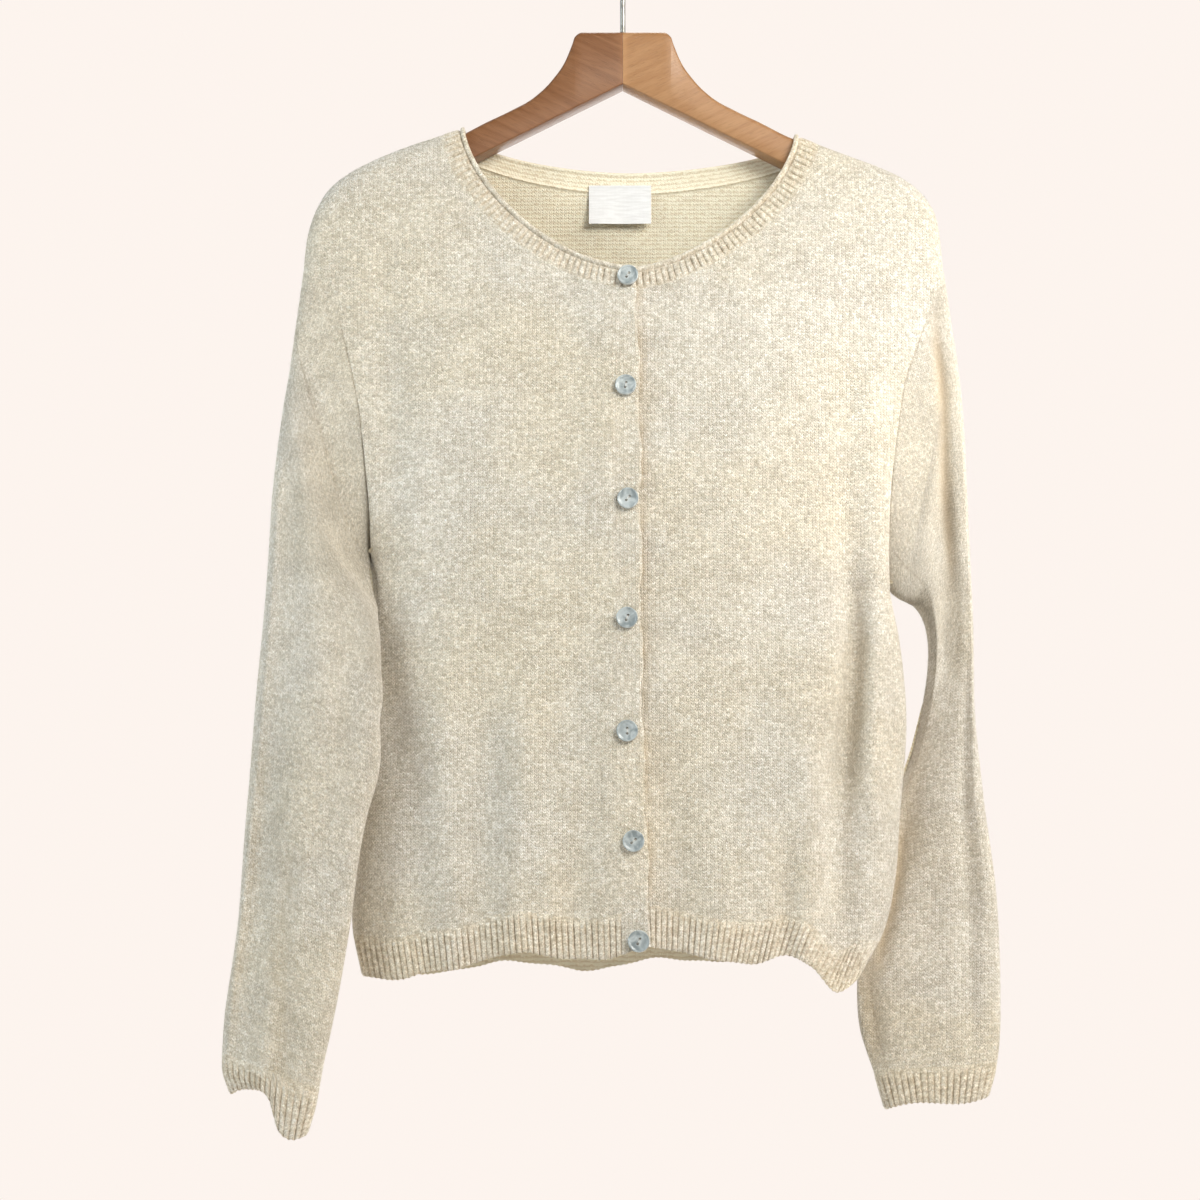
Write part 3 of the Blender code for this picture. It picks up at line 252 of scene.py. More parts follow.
def blend(first, first_slope, last, last_slope, part):
    """Points at this part of a smooth curve from the first points to the last."""
    rest = 1 - part
    return (
        first * (1 + 2 * part) * rest**2
        + first_slope * part * rest**2
        + last * (3 - 2 * part) * part**2
        - last_slope * rest * part**2
    )


def hill(distance, width):
    """A smooth rise from 0 to 1 and back, over this distance on either side."""
    return np.exp(-((distance / width) ** 2))


def smooth_curve(keys, values, at):
    """Values at these keys on a smooth curve through the given ones."""
    slopes = np.gradient(values, keys)
    at = np.clip(at, keys[0], keys[-1])
    low = np.clip(np.searchsorted(keys, at, side="right") - 1, 0, len(keys) - 2)
    span = keys[low + 1] - keys[low]
    part = (at - keys[low]) / span
    return blend(values[low], slopes[low] * span, values[low + 1], slopes[low + 1] * span, part)


def read_table(rows, key, name, at):
    return smooth_curve(column(rows, key), column(rows, name), at)


def line_through(spots, parts):
    """Out and drop at these parts of the length of a smooth line through the spots."""
    points = np.array(spots)
    steps = np.hypot(*np.diff(points, axis=0).T)
    length = np.concatenate([[0.0], np.cumsum(steps)])
    at = np.asarray(parts) * length[-1]
    return smooth_curve(length, points[:, 0], at), smooth_curve(length, points[:, 1], at)


def ease(value):
    value = np.clip(value, 0.0, 1.0)
    return value * value * (3 - 2 * value)


def side_out(half, drop):
    """How far out the panels' outer edge lies: past the hanger's tip, sleeve seam, side seam."""
    return read_table(TIP[half] + ARMHOLE[half][1:] + SIDE[half][1:], "drop", "out", drop)


def armpit_drop(half):
    return ARMHOLE[half][-1].drop


def edge_depth(half, drop):
    """How far the front and back stand off the middle plane where the sleeve is sewn on."""
    below = np.clip((drop - armpit_drop(half) + ARMPIT_CLOSING) / ARMPIT_CLOSING, 0, 1)
    return read_table(DEPTHS, "drop", "edge", drop) * np.sqrt(1 - below**2)


def placket_x(drop):
    return read_table(PLACKET_LINE, "drop", "x", drop)


def shoulder_line(half):
    out, drop = line_through(SHOULDER[half] + TIP[half][1:], np.linspace(0, 1, 49))
    return np.stack([SIGN[half] * out, drop], -1)


def shoulder_distance(half, x, drop):
    """Distance in the front view from the shoulder line, which the cloth folds over."""
    line = shoulder_line(half)
    start, step = line[:-1], np.diff(line, axis=0)
    point = np.stack([x, drop], -1)[..., None, :]
    part = ((point - start) * step).sum(-1) / (step * step).sum(-1)
    nearest = start + np.clip(part, 0, 1)[..., None] * step
    return np.sqrt(((point - nearest) ** 2).sum(-1)).min(-1)


def stand_off(face, x, drop):
    """How far the outer face of the front or the back stands off the middle plane."""
    outs = {half: side_out(half, drop) for half in SIGN}
    middle = (outs["left"] - outs["right"]) / 2
    reach = (outs["left"] + outs["right"]) / 2
    across = np.clip(np.abs(x - middle) / reach, 0, 1)
    on_left = x > middle
    edge = np.where(on_left, edge_depth("left", drop), edge_depth("right", drop))
    armpit = np.where(on_left, armpit_drop("left"), armpit_drop("right"))
    closing = ease((drop - armpit + SIDE_CLOSING) / SIDE_CLOSING)
    rounded = (1 - across**SIDE_POWER) ** (1 / SIDE_POWER)
    shape = (1 - closing) * (1 - across**3) + closing * rounded
    full = read_table(DEPTHS, "drop", face, drop)
    folds = folds_at(face, x, drop) * (1 - across**8)
    depth = edge + (full - edge) * shape + folds
    near = np.minimum(shoulder_distance("right", x, drop), shoulder_distance("left", x, drop))
    roundness = np.clip(near / SHOULDER_ROUND, 0, 1)
    return depth * np.sqrt(1 - (1 - roundness) ** 2)


def lap_rise(x, drop):
    """The right front rises near its edge to lie over the left one."""
    distance = placket_x(drop) - PLACKET / 2 - x
    return LAP_RISE * (1 - ease(distance / LAP_BLEND))


def on_body(face, x, drop, lapped=False):
    """Points of the body's outer face, from the front view's x and drop."""
    depth = stand_off(face, x, drop)
    if lapped:
        depth = depth + lap_rise(x, drop)
    y = -depth if face == "front" else depth
    return np.stack([x, y, -drop], -1)


def neck_curve(face, half, angle, grow):
    """X and drop on the neck edge, grown by up to the neckband's width. Angle 0 is the shoulder."""
    power = NECK_POWER[face]
    first, second = SHOULDER[half][:2]
    out_at_shoulder = NECK_HALF + SIGN[half] * NECK_SHIFT + grow
    slope = (second.drop - first.drop) / (second.out - first.out)
    top = first.drop + slope * (out_at_shoulder - first.out)
    foot = NECK_DROP[face] + grow
    x = NECK_SHIFT + SIGN[half] * (NECK_HALF + grow) * np.abs(np.cos(angle)) ** power
    drop = top + (foot - top) * np.abs(np.sin(angle)) ** power
    return x, drop


def neck_angle_at(half, x):
    """The angle at which the front neck seam passes this x, near the middle."""
    part = np.abs(x - NECK_SHIFT) / (NECK_HALF + NECKBAND)
    return np.arccos(part ** (1 / NECK_POWER["front"]))


def placket_edge(half, drop):
    return placket_x(drop) + SIGN[half] * PLACKET / 2


def neck_angles(face, half):
    """Angles of the panel's columns along the neck seam, from the middle to the shoulder."""
    start = math.pi / 2
    if face == "front":
        start = neck_angle_at(half, placket_edge(half, NECK_DROP[face] + NECKBAND))
    last = NECK_SHOULDER_ANGLES[face]
    even = np.linspace(start, last[0], NECK_STEPS + 1)
    return np.concatenate([even, last[1:]])


def top_line(face, half):
    """The panel's top edge: neck seam, then shoulder, with close columns near its end."""
    x, drop = neck_curve(face, half, neck_angles(face, half), NECKBAND)
    spots = SHOULDER[half][1:]
    length = np.hypot(*np.diff(np.array(spots), axis=0).T).sum()
    last = 1 - np.array(TIP_INSETS) / length
    parts = np.concatenate([np.linspace(0, last[0], SHOULDER_STEPS + 1)[1:], last[1:]])
    out, height = line_through(spots, parts)
    return np.concatenate([x, SIGN[half] * out]), np.concatenate([drop, height])


def even_across(face, half, drop, count):
    """X values that part the cloth from the middle to the side seam into even widths."""
    start = placket_edge(half, drop) if face == "front" else CENTRE_BACK_FOOT
    end = SIGN[half] * side_out(half, drop)
    turn = np.sin(np.linspace(0, math.pi / 2, 200))
    x = start + (end - start) * turn
    points = on_body(face, x, np.full_like(x, drop))
    length = length_along(points)
    x = np.interp(np.linspace(0, length[-1], count), length, x)
    x[-1] = end
    return x


def middle_x(face, half, drop):
    """The panel's inner edge: the button band's seam in front, the middle of the back behind."""
    if face == "front":
        return placket_edge(half, drop)
    part = (drop - NECK_DROP["back"]) / (SIDE[half][-1].drop - NECK_DROP["back"])
    return NECK_SHIFT + (CENTRE_BACK_FOOT - NECK_SHIFT) * part


def outer_drops(half, foot):
    """Drops of the rows where they meet the panel's outer edge."""
    tip, seam_top, armpit = TIP[half][0].drop, ARMHOLE[half][0].drop, armpit_drop(half)
    past_tip = np.linspace(tip, seam_top, TIP_STEPS + 1)
    turns = np.linspace(0, math.pi, ARMHOLE_STEPS + 1)[1:]
    along_seam = seam_top + (armpit - seam_top) * (1 - np.cos(turns)) / 2
    below = np.linspace(armpit, foot, SIDE_STEPS + 1)[1:]
    return np.concatenate([past_tip, along_seam, below])


def square_to(points, aside):
    """Unit directions square to a line of front-view points, on the side of the given point."""
    along = unit(np.gradient(points, axis=0))
    square = np.stack([along[:, 1], -along[:, 0]], -1)
    side = np.sign((square * (aside - points)).sum(-1).sum())
    return square * side


def leaving(top, corner, aside):
    """Directions in which the columns leave the top line; they share out the neck corner's angle."""
    neck = square_to(top[: corner + 1], aside)
    shoulder = square_to(top[corner:], aside)
    mitre = (neck[-1] + shoulder[0]) / (1 + neck[-1] @ shoulder[0])
    length = length_along(top)
    weight = np.exp(-np.abs(length - length[corner]) / CORNER_SPREAD)[:, None]
    neck = neck + weight[: corner + 1] * (mitre - neck[-1])
    shoulder = shoulder + weight[corner:] * (mitre - shoulder[0])
    return np.concatenate([neck[:-1], shoulder])


def column_curve(top, start, foot, part):
    """Front-view points of the columns, from the top line to the hem rib's seam."""
    fall = np.stack([np.zeros(len(top)), foot[:, 1] - top[:, 1]], -1)
    return blend(top, COLUMN_PULL * start, foot, fall, part[:, None, None])


def row_parts(length):
    """Parts of a column at which the rows lie, for their distances from the top line."""
    below = np.linspace(ROW_DROPS[-1], length, SIDE_STEPS + 2)[1:]
    fine = np.linspace(0, 1, 400)
    origin, down = np.zeros((1, 2)), np.array([[0.0, 1.0]])
    distance = column_curve(origin, down, length * down, fine)[:, 0, 1]
    return np.interp(np.concatenate([ROW_DROPS, below]), distance, fine)


def half_panel(face, half):
    """Front-view x and drop of a panel's rows, and of its hem rib's rows, middle to side."""
    top = np.stack(top_line(face, half), -1)
    count = len(top)
    corner = count - SHOULDER_STEPS - len(TIP_INSETS)
    side_foot = SIDE[half][-1].drop
    feet = []
    for rise in (HEM_RIB, 0.0):
        x = even_across(face, half, side_foot - rise, count)
        drop = read_table(HEM[face], "x", "drop", x) - rise
        x[0] = middle_x(face, half, drop[0])
        feet.append(np.stack([x, drop], -1))
    foot, edge = feet
    parts = row_parts(foot[0, 1] - NECK_DROP["back"])
    rows = column_curve(top, leaving(top, corner, foot[corner]), foot, parts)
    across = length_along(top)
    across = (across / across[-1])[:, None]
    outer = outer_drops(half, foot[-1, 1])
    outer = np.stack([SIGN[half] * side_out(half, outer), outer], -1)
    rows += across**6 * (outer - rows[:, -1])[:, None]
    inner = middle_x(face, half, rows[:, 0, 1]) - rows[:, 0, 0]
    rows[..., 0] += inner[:, None] * (1 - across[:, 0]) ** 6
    ribs = np.stack([foot, edge])
    return (rows[..., 0], rows[..., 1]), (ribs[..., 0], ribs[..., 1])


def unit(vectors):
    return vectors / np.linalg.norm(vectors, axis=-1, keepdims=True)


def ring_points(half, place, turns):
    """A sleeve ring at a fractional row of its table. Turn 0 is the outer edge, then the front."""
    table = SLEEVE[half]
    rows = np.arange(len(table), dtype=float)
    values = {name: smooth_curve(rows, column(table, name), place) for name in Ring._fields}
    wide = np.sign(np.cos(turns)) * np.abs(np.cos(turns)) ** SLEEVE_POWER
    deep = np.sign(np.sin(turns)) * np.abs(np.sin(turns)) ** SLEEVE_POWER
    part = (1 - wide) / 2
    ways = (("out_x", "in_x"), ("out_y", "in_y"), ("out_drop", "in_drop"))
    out, y, drop = (values[first] + (values[last] - values[first]) * part for first, last in ways)
    centred = (turns + math.pi) % (2 * math.pi) - math.pi
    rise = np.zeros_like(turns)
    for tuck in TUCKS[half]:
        starts = ease((place - tuck.first) / 1.5)
        ends = ease((tuck.last - place) / 1.5)
        rise += tuck.height * starts * ends * hill(centred - tuck.angle, tuck.spread)
    y = y - values["thick"] * deep - np.sign(deep) * rise
    if place > len(table) - 2:
        drop = drop + CUFF_WAVE[half] * (place - len(table) + 2) * np.sin(2 * math.pi * part)
    return np.stack([SIGN[half] * out, y, -drop], -1)


def armhole_loop(half, turns):
    """The sleeve's first ring, which lies along the panels' sleeve seam."""
    top, foot = ARMHOLE[half][0].drop, armpit_drop(half)
    drop = top + (foot - top) * (1 - np.cos(turns)) / 2
    x = SIGN[half] * side_out(half, drop)
    depth = np.where(np.sin(turns) < 0, stand_off("back", x, drop), -stand_off("front", x, drop))
    return np.stack([x, depth, -drop], -1)


def band_end(x, grow):
    """Where the neckband's lapped ends lie, at this x of the button bands' top."""
    half = "left" if x > NECK_SHIFT else "right"
    angle = neck_angle_at(half, x)
    return neck_curve("front", half, angle, grow)


def hook_route():
    """The wire's middle line: round the rail from its tip, over the crown and down to the block."""
    centre = WIRE - HOOK_RADIUS
    turns = np.radians(np.linspace(200, -62, 24))
    points = [(HOOK_RADIUS * math.cos(turn), centre + HOOK_RADIUS * math.sin(turn)) for turn in turns]
    last_x, last_z = points[-1]
    foot = -BLOCK_TOP + SEAM_GAP
    bend_foot = last_z - 0.016
    for part in np.linspace(0, 1, 6)[1:]:
        points.append((last_x * (1 - ease(part)), last_z + (bend_foot - last_z) * part))
    points.append((0.0, (bend_foot + foot) / 2))
    points.append((0.0, foot))
    return points


# Finer work on the cloth
CLOTH = 0.0019
GRID_STEP = 0.0030
SEAM_STEPS = (0.0006, 0.0014, 0.0026)
SEAM_DIP = 0.0007
SEAM_WIDTH = 0.0014
ARMHOLE_SEAM_TOP = 0.262
ARMHOLE_SEAM_FADE = 0.035
# Column of each sleeve where a seam line under the arm gets painted shade, and how dark that painted shade is
UNDERARM_SEAM = {"right": 6, "left": -14}
UNDERARM_SEAM_SHADE = 0.75
SLEEVE_COLUMNS = 120
# Distances of the neckband's rows from its rolled edge
BAND_ROWS = (
    0.0160, 0.0153, 0.0144, 0.0128, 0.0108, 0.0086, 0.0066, 0.0050, 0.0040, 0.0034, 0.0029, 0.0025, 0.0019,
    0.0012, 0.0006, 0.0001,
)
ROLL_GROOVE = 0.0034
RIB_STEPS = 8
EDGE_ROUND = 0.0008
PLACKET_SHADOW = 0.0032
# Where the right cuff's edge rises in a notch, and how far
CUFF_NOTCH_OUT = 0.2245
CUFF_NOTCH_RISE = 0.0115
# How wide and how clear of the body the right sleeve's edge rolls over it
ROLL_WIDTH = 0.022
ROLL_CLEAR = 0.0016
RIB_DEPTH = 0.0011
CLOTH_LEVEL = 0.24
PANEL_ROWS = 172
CLOTH_TABLES = {}
# Start, end and step of the cloth map's table
MAP_X = (-0.224, 0.2245, 0.002)
MAP_DROP = (0.136, 0.745, 0.003)
RIPPLE_WIDTHS = (0.085, 0.055, 0.037, 0.024, 0.017)
RIPPLE_STEEPNESS = 0.0032
FLUTE_HEIGHT = 0.0006
SLEEVE_RINGS = 27
LABEL_THICK = 0.0006
LABEL_FLARE = 0.0045
# Loose fibres: how many, how long and how thick
FUZZ = {"body": 19000, "sleeves": 16000}
FUZZ_LENGTHS = (0.0012, 0.0038)
FUZZ_RADIUS = 0.000035
HAIRS = {"body": 70, "sleeves": 70}
HAIR_LENGTHS = (0.006, 0.016)
HAIR_RADIUS = 0.00004
HOOK_STEPS = 150
# Where the hanger's flat block ends, how long the curve into the arm is, and where the arm goes on
BLOCK_END = 0.0272
BLOCK_BLEND = 0.0058
BLEND_END = 0.0330
BUTTON_THICK = 0.0024
HOLE_AWAY = 0.0017
# Which way a button's two holes lie from its middle, and the thread through them
HOLES_TURNED = (0.5, 0.87)
STRAND_ASIDE = 0.00014
STRAND_RADIUS = 0.00009
BUTTON_SPINS = (0.0, 0.35, -0.2, 0.15, 0.5, -0.35, 0.1)
FINE_FOLDS = named(Fold, {
    "front": (
        (-0.020, -0.052, 0.57, 0.80, 0.010, -0.0030), (-0.052, -0.040, 0.60, 0.80, 0.009, 0.0026),
        (-0.115, -0.108, 0.47, 0.80, 0.011, 0.0030), (-0.130, -0.128, 0.55, 0.80, 0.008, -0.0024),
        (0.060, 0.066, 0.62, 0.80, 0.010, 0.0026), (0.085, 0.080, 0.66, 0.80, 0.008, -0.0022),
        (0.118, 0.112, 0.52, 0.80, 0.009, 0.0026), (-0.150, -0.165, 0.20, 0.33, 0.012, -0.0022),
        (0.118, 0.160, 0.17, 0.27, 0.016, 0.0016), (-0.100, -0.155, 0.17, 0.30, 0.018, 0.0014),
        (0.149, 0.141, 0.44, 0.64, 0.008, -0.0125), (0.167, 0.163, 0.30, 0.72, 0.009, 0.0060),
    ),
    "back": (
        (-0.130, -0.122, 0.30, 0.80, 0.013, -0.0034), (-0.075, -0.066, 0.40, 0.80, 0.011, 0.0030),
        (0.000, -0.006, 0.45, 0.80, 0.012, -0.0026), (0.072, 0.066, 0.36, 0.80, 0.012, 0.0032),
        (0.145, 0.130, 0.40, 0.80, 0.010, 0.0026), (-0.140, -0.100, 0.17, 0.28, 0.020, 0.0018),
        (0.145, 0.100, 0.17, 0.28, 0.020, 0.0018),
    ),
})
FINE_TUCKS = named(Tuck, {
    "right": (
        (0.55, 0.20, 2.0, 10.0, 0.0026), (1.55, 0.22, 4.0, 10.5, 0.0022), (1.00, 0.32, 1.5, 7.0, 0.0026),
        (-0.60, 0.25, 2.0, 9.0, -0.0024), (-2.20, 0.28, 1.0, 8.0, 0.0028),
    ),
    "left": (
        (0.65, 0.22, 1.0, 9.0, 0.0026), (1.05, 0.18, 5.0, 11.5, -0.0026), (2.35, 0.22, 2.0, 10.0, 0.0024),
        (-0.60, 0.25, 2.0, 10.0, -0.0024), (-2.20, 0.28, 1.0, 9.0, 0.0026),
    ),
})
# Front view of the right sleeve's inner edge where it rests on the body
REST_EDGE = (
    (0.330, -0.1800), (0.365, -0.1720), (0.406, -0.1668), (0.446, -0.1630), (0.468, -0.1602),
    (0.509, -0.1568), (0.549, -0.1540), (0.566, -0.1580), (0.593, -0.1630), (0.640, -0.1800),
)
# Creases down the front of a sleeve, in the front view; shade is how dark the painted shade in each crease is
Crease = namedtuple("Crease", "x_top drop_top x_foot drop_foot width depth shade")
CREASES = named(Crease, {
    "right": (
        (-0.2140, 0.62, -0.2185, 0.83, 0.0060, 0.0030, 0.25),
        (-0.1900, 0.44, -0.1780, 0.60, 0.0090, 0.0025, 0.15),
    ),
    "left": (
        (0.2075, 0.262, 0.2175, 0.490, 0.0040, 0.0040, 1.00),
        (0.1990, 0.500, 0.1840, 0.660, 0.0090, 0.0045, 0.40),
        (0.1890, 0.600, 0.1640, 0.735, 0.0048, 0.0050, 0.90),
        (0.1600, 0.690, 0.1650, 0.790, 0.0060, 0.0040, 0.50),
    ),
})
FOLDS = {face: FOLDS[face] + FINE_FOLDS[face] for face in FOLDS}
TUCKS = {half: TUCKS[half] + FINE_TUCKS[half] for half in TUCKS}

# Each knitted piece laid flat: widest width, full length, area, and what it is sewn to or hangs from
Cut = namedtuple("Cut", "node width length area sewn_to")
HANGER = ("hanger_arm_right", "hanger_arm_left")
CUTS = named(Cut, (
    ("back_panel", 0.444, 0.545, 0.1987, HANGER),
    ("front_right", 0.220, 0.544, 0.0893, HANGER),
    ("front_left", 0.214, 0.545, 0.0901, HANGER),
    ("hem_rib_back", 0.380, 0.046, 0.0130, ("back_panel",)),
    ("hem_rib_front_right", 0.194, 0.043, 0.0067, ("front_right",)),
    ("hem_rib_front_left", 0.168, 0.050, 0.0059, ("front_left",)),
    ("sleeve_right", 0.400, 0.500, 0.0860, ("back_panel", "front_right")),
    ("sleeve_left", 0.400, 0.500, 0.0746, ("back_panel", "front_left")),
    ("cuff_right", 0.186, 0.037, 0.0054, ("sleeve_right",)),
    ("cuff_left", 0.199, 0.0275, 0.0053, ("sleeve_left",)),
    ("neckband", 0.680, 0.0175, 0.0118, ("back_panel", "front_right", "front_left")),
    ("placket_right", 0.0185, 0.440, 0.0081, ("front_right",)),
    ("placket_left", 0.0185, 0.440, 0.0081, ("front_left",)),
))


def length_along(points):
    """Running length from the first point, along the second-last axis of the array."""
    steps = np.linalg.norm(np.diff(points, axis=-2), axis=-1)
    return np.concatenate([np.zeros_like(steps[..., :1]), np.cumsum(steps, axis=-1)], axis=-1)


def length_down(grid):
    """Running length from a grid's first row, down each of its columns."""
    return length_along(np.moveaxis(grid, 0, 1)).T


def between_rows(values, at):
    """Smooth values at fractional rows of a grid."""
    slopes = np.gradient(values, axis=0)
    low = np.clip(np.floor(at).astype(int), 0, len(values) - 2)
    part = (at - low).reshape((-1,) + (1,) * (values.ndim - 1))
    return blend(values[low], slopes[low], values[low + 1], slopes[low + 1], part)


def between_columns(values, at):
    return np.moveaxis(between_rows(np.moveaxis(values, 1, 0), at), 0, 1)


def fine_lengths(length, step=GRID_STEP, seams=(True, True)):
    """Even distances along a piece, closer together beside its seams."""
    start = [0.0] + (list(SEAM_STEPS) if seams[0] else [])
    end = [length] + ([length - near for near in SEAM_STEPS] if seams[1] else [])
    low, high = start[-1], min(end)
    count = max(2, round((high - low) / step))
    return np.array(start[:-1] + list(np.linspace(low, high, count + 1)) + sorted(end)[1:])


def ripple(x, drop, seed):
    """Slow unevenness of hand-hung cloth, mostly a few tenths of a millimetre deep."""
    rng = np.random.default_rng(seed)
    total = np.zeros_like(x)
    for width in RIPPLE_WIDTHS:
        for turn in rng.uniform(0, math.pi, 2):
            way = x * math.cos(turn) + drop * math.sin(turn) * 0.6
            total += width * np.sin(way * 2 * math.pi / width + rng.uniform(0, 6.28))
    return total * RIPPLE_STEEPNESS


def within_shoulder(half, fine, neck_columns):
    """Brings the edge that folds over the shoulder onto its line, and nothing past that line."""
    line = shoulder_line(half)
    near = fine[..., 1] < line[-1, 1] + 0.02
    points = fine[near]
    start, step = line[:-1], np.diff(line, axis=0)
    part = ((points[:, None] - start) * step).sum(-1) / (step * step).sum(-1)
    spots = start + np.clip(part, 0, 1)[..., None] * step
    gaps = np.linalg.norm(points[:, None] - spots, axis=-1)
    best = gaps.argmin(1)
    rows = np.arange(len(points))
    nearest, away = spots[rows, best], points - spots[rows, best]
    side = step[best, 0] * away[:, 1] - step[best, 1] * away[:, 0]
    past = (side * SIGN[half] < 0) & (points[:, 1] < line[-1, 1])
    edge = np.zeros(fine.shape[:2], dtype=bool)
    edge[0, neck_columns:] = True
    edge[:, -1] = fine[:, -1, 1] < line[-1, 1]
    move = past | edge[near]
    points[move] = nearest[move]
    moved = fine.copy()
    moved[near] = points
    return moved


def dense_panel(face, half):
    """Front-view x and drop of a panel's fine grid, and of its hem rib's top and foot."""
    (x, drop), ribs = half_panel(face, half)
    coarse = np.stack([x, drop], -1)
    mean_rows = length_along(np.moveaxis(coarse, 0, 1)).mean(0)
    mean_columns = length_along(coarse)[len(coarse) // 2 :].mean(0)
    rows = fine_lengths(mean_rows[-1], (mean_rows[-1] - 2 * SEAM_STEPS[-1]) / PANEL_ROWS)
    columns = fine_lengths(mean_columns[-1], seams=(face == "front", True))
    row_at = np.interp(rows, mean_rows, np.arange(len(mean_rows)))
    column_at = np.interp(columns, mean_columns, np.arange(len(mean_columns)))
    fine = between_columns(between_rows(coarse, row_at), column_at)
    across = (columns / columns[-1])[:, None]
    down = (rows / rows[-1])[:, None, None]

    neck = neck_angles(face, half)
    on_neck = column_at <= len(neck) - 1
    angles = np.interp(column_at[on_neck], np.arange(len(neck)), neck)
    exact = fine[0].copy()
    exact[on_neck] = np.stack(neck_curve(face, half, angles, NECKBAND), -1)
    fine += (exact - fine[0]) * (1 - down) ** 8
    edge = fine[:, -1].copy()
    edge[:, 0] = SIGN[half] * side_out(half, edge[:, 1])
    edge[0] = fine[0, -1]
    fine += across**8 * (edge - fine[:, -1])[:, None]
    inner = middle_x(face, half, fine[:, 0, 1]) - fine[:, 0, 0]
    fine[..., 0] += inner[:, None] * (1 - across[:, 0]) ** 8
    fine = within_shoulder(half, fine, int(on_neck.sum()))
    foot = between_columns(np.stack(ribs, -1), column_at)
    foot[0] = fine[-1]
    return fine, foot


def cloth_table(face):
    """Cloth widths out from the middle and lengths down, over even steps of x and drop."""
    x, drop = np.arange(*MAP_X), np.arange(*MAP_DROP)
    over, level = np.meshgrid(x, drop)
    reach = np.where(over < 0, *(side_out(half, np.maximum(level, 0.2)) for half in ("right", "left")))
    surface = np.stack([over, level, stand_off(face, np.clip(over, -reach, reach), level)], -1)
    middle = len(x) // 2
    out = length_along(surface[:, middle:])
    back = length_along(surface[:, middle::-1])
    width = np.concatenate([-back[:, :0:-1], out], axis=1)
    turn = int(np.searchsorted(drop, CLOTH_LEVEL))
    up = length_down(surface[turn::-1])[::-1]
    height = np.concatenate([-drop[turn] + up[:-1], -level[turn:]])
    return x, drop, width, height


def cloth_map(face, x, drop):
    """The cloth's own flat map in metres: widths from the middle, and lengths down as negative."""
    if face not in CLOTH_TABLES:
        CLOTH_TABLES[face] = cloth_table(face)
    x_marks, drop_marks, width, height = CLOTH_TABLES[face]
    column = np.clip((x - x_marks[0]) / (x_marks[1] - x_marks[0]), 0, len(x_marks) - 1.001)
    row = np.clip((drop - drop_marks[0]) / (drop_marks[1] - drop_marks[0]), 0, len(drop_marks) - 1.001)
    i, j = column.astype(int), row.astype(int)
    a, b = column - i, row - j
    corners = (
        (j, i, (1 - b) * (1 - a)), (j, i + 1, (1 - b) * a),
        (j + 1, i, b * (1 - a)), (j + 1, i + 1, b * a),
    )
    tables = (width, height)
    return np.stack([sum(table[down, over] * part for down, over, part in corners) for table in tables], -1)


def folds_at(face, x, drop):
    """Large and fine folds of a face, and the slow unevenness between them."""
    total = ripple(x, drop, 3 if face == "front" else 4) * ease((drop - 0.20) / 0.07)
    for fold in FOLDS[face]:
        part = np.clip((drop - fold.drop_top) / (fold.drop_foot - fold.drop_top), 0, 1)
        line = fold.x_top + (fold.x_foot - fold.x_top) * part
        line = line + 0.0035 * np.sin(drop * 26 + fold.x_top * 90)
        starts = ease((drop - fold.drop_top) / FOLD_FADE)
        ends = ease((fold.drop_foot - drop) / FOLD_FADE)
        total = total + fold.height * hill(x - line, fold.width) * starts * ends
    return total


def facing(grid, closed=False):
    """Unit normals over a grid of points."""
    if closed:
        along = np.roll(grid, -1, axis=1) - np.roll(grid, 1, axis=1)
    else:
        along = np.gradient(grid, axis=1)
    return unit(np.cross(along, np.gradient(grid, axis=0)) + 1e-15)


def outward(normals, away):
    return -normals if (normals * away).sum() < 0 else normals


def seam_marks(grid, seams, armhole):
    """How strongly each seam shows, from 0 to 1; the armhole's starts below the shoulder."""
    down, over = length_down(grid), length_along(grid)
    ways = {"top": down, "foot": down[-1] - down, "first": over, "last": over[:, -1:] - over}
    marks = np.zeros(grid.shape[:2])
    for edge, strength in seams.items():
        mark = strength * hill(ways[edge], SEAM_WIDTH)
        if edge in armhole:
            mark = mark * ease((-grid[..., 2] - ARMHOLE_SEAM_TOP) / ARMHOLE_SEAM_FADE)
        marks = np.maximum(marks, mark)
    return marks


def add_marks(made, name, outer, inner):
    layer = made.data.attributes.new(name, "FLOAT", "POINT")
    layer.data.foreach_set("value", np.concatenate([outer.ravel(), inner.ravel()]).astype(np.float32))


def closed_shell(name, outer, inner, uv, closed=False):
    """A wall of cloth between two grids of points, with the cloth's own map in metres."""
    rows, columns = outer.shape[:2]
    under = rows * columns
    order = np.arange(under).reshape(rows, columns)
    if closed:
        order = np.concatenate([order, order[:, :1]], axis=1)
    a, b, c, d = order[:-1, :-1], order[:-1, 1:], order[1:, 1:], order[1:, :-1]
    top = np.stack([a, b, c, d], -1).reshape(-1, 4)
    rims = [(order[0], True), (order[-1], False)]
    if not closed:
        rims += [(order[:, 0], False), (order[:, -1], True)]
    faces = [top, top[:, ::-1] + under]
    for edge, turned in rims:
        rim = np.stack([edge[1:], edge[:-1], edge[:-1] + under, edge[1:] + under], -1)
        faces.append(rim[:, ::-1] if turned else rim)
    points = np.concatenate([outer.reshape(-1, 3), inner.reshape(-1, 3)])
    made = piece_from(name, points, np.concatenate(faces))
    corners = np.empty(len(made.data.loops), dtype=np.int32)
    made.data.loops.foreach_get("vertex_index", corners)
    corners = corners.reshape(-1, 4) % under
    row, column = corners // columns, corners % columns
    if closed:
        wraps = (column.max(1) == columns - 1) & (column.min(1) == 0)
        column = np.where(wraps[:, None] & (column == 0), columns, column)
    layer = made.data.uv_layers.new(name="cloth")
    layer.data.foreach_set("uv", uv[row, column].astype(np.float32).ravel())
    return made


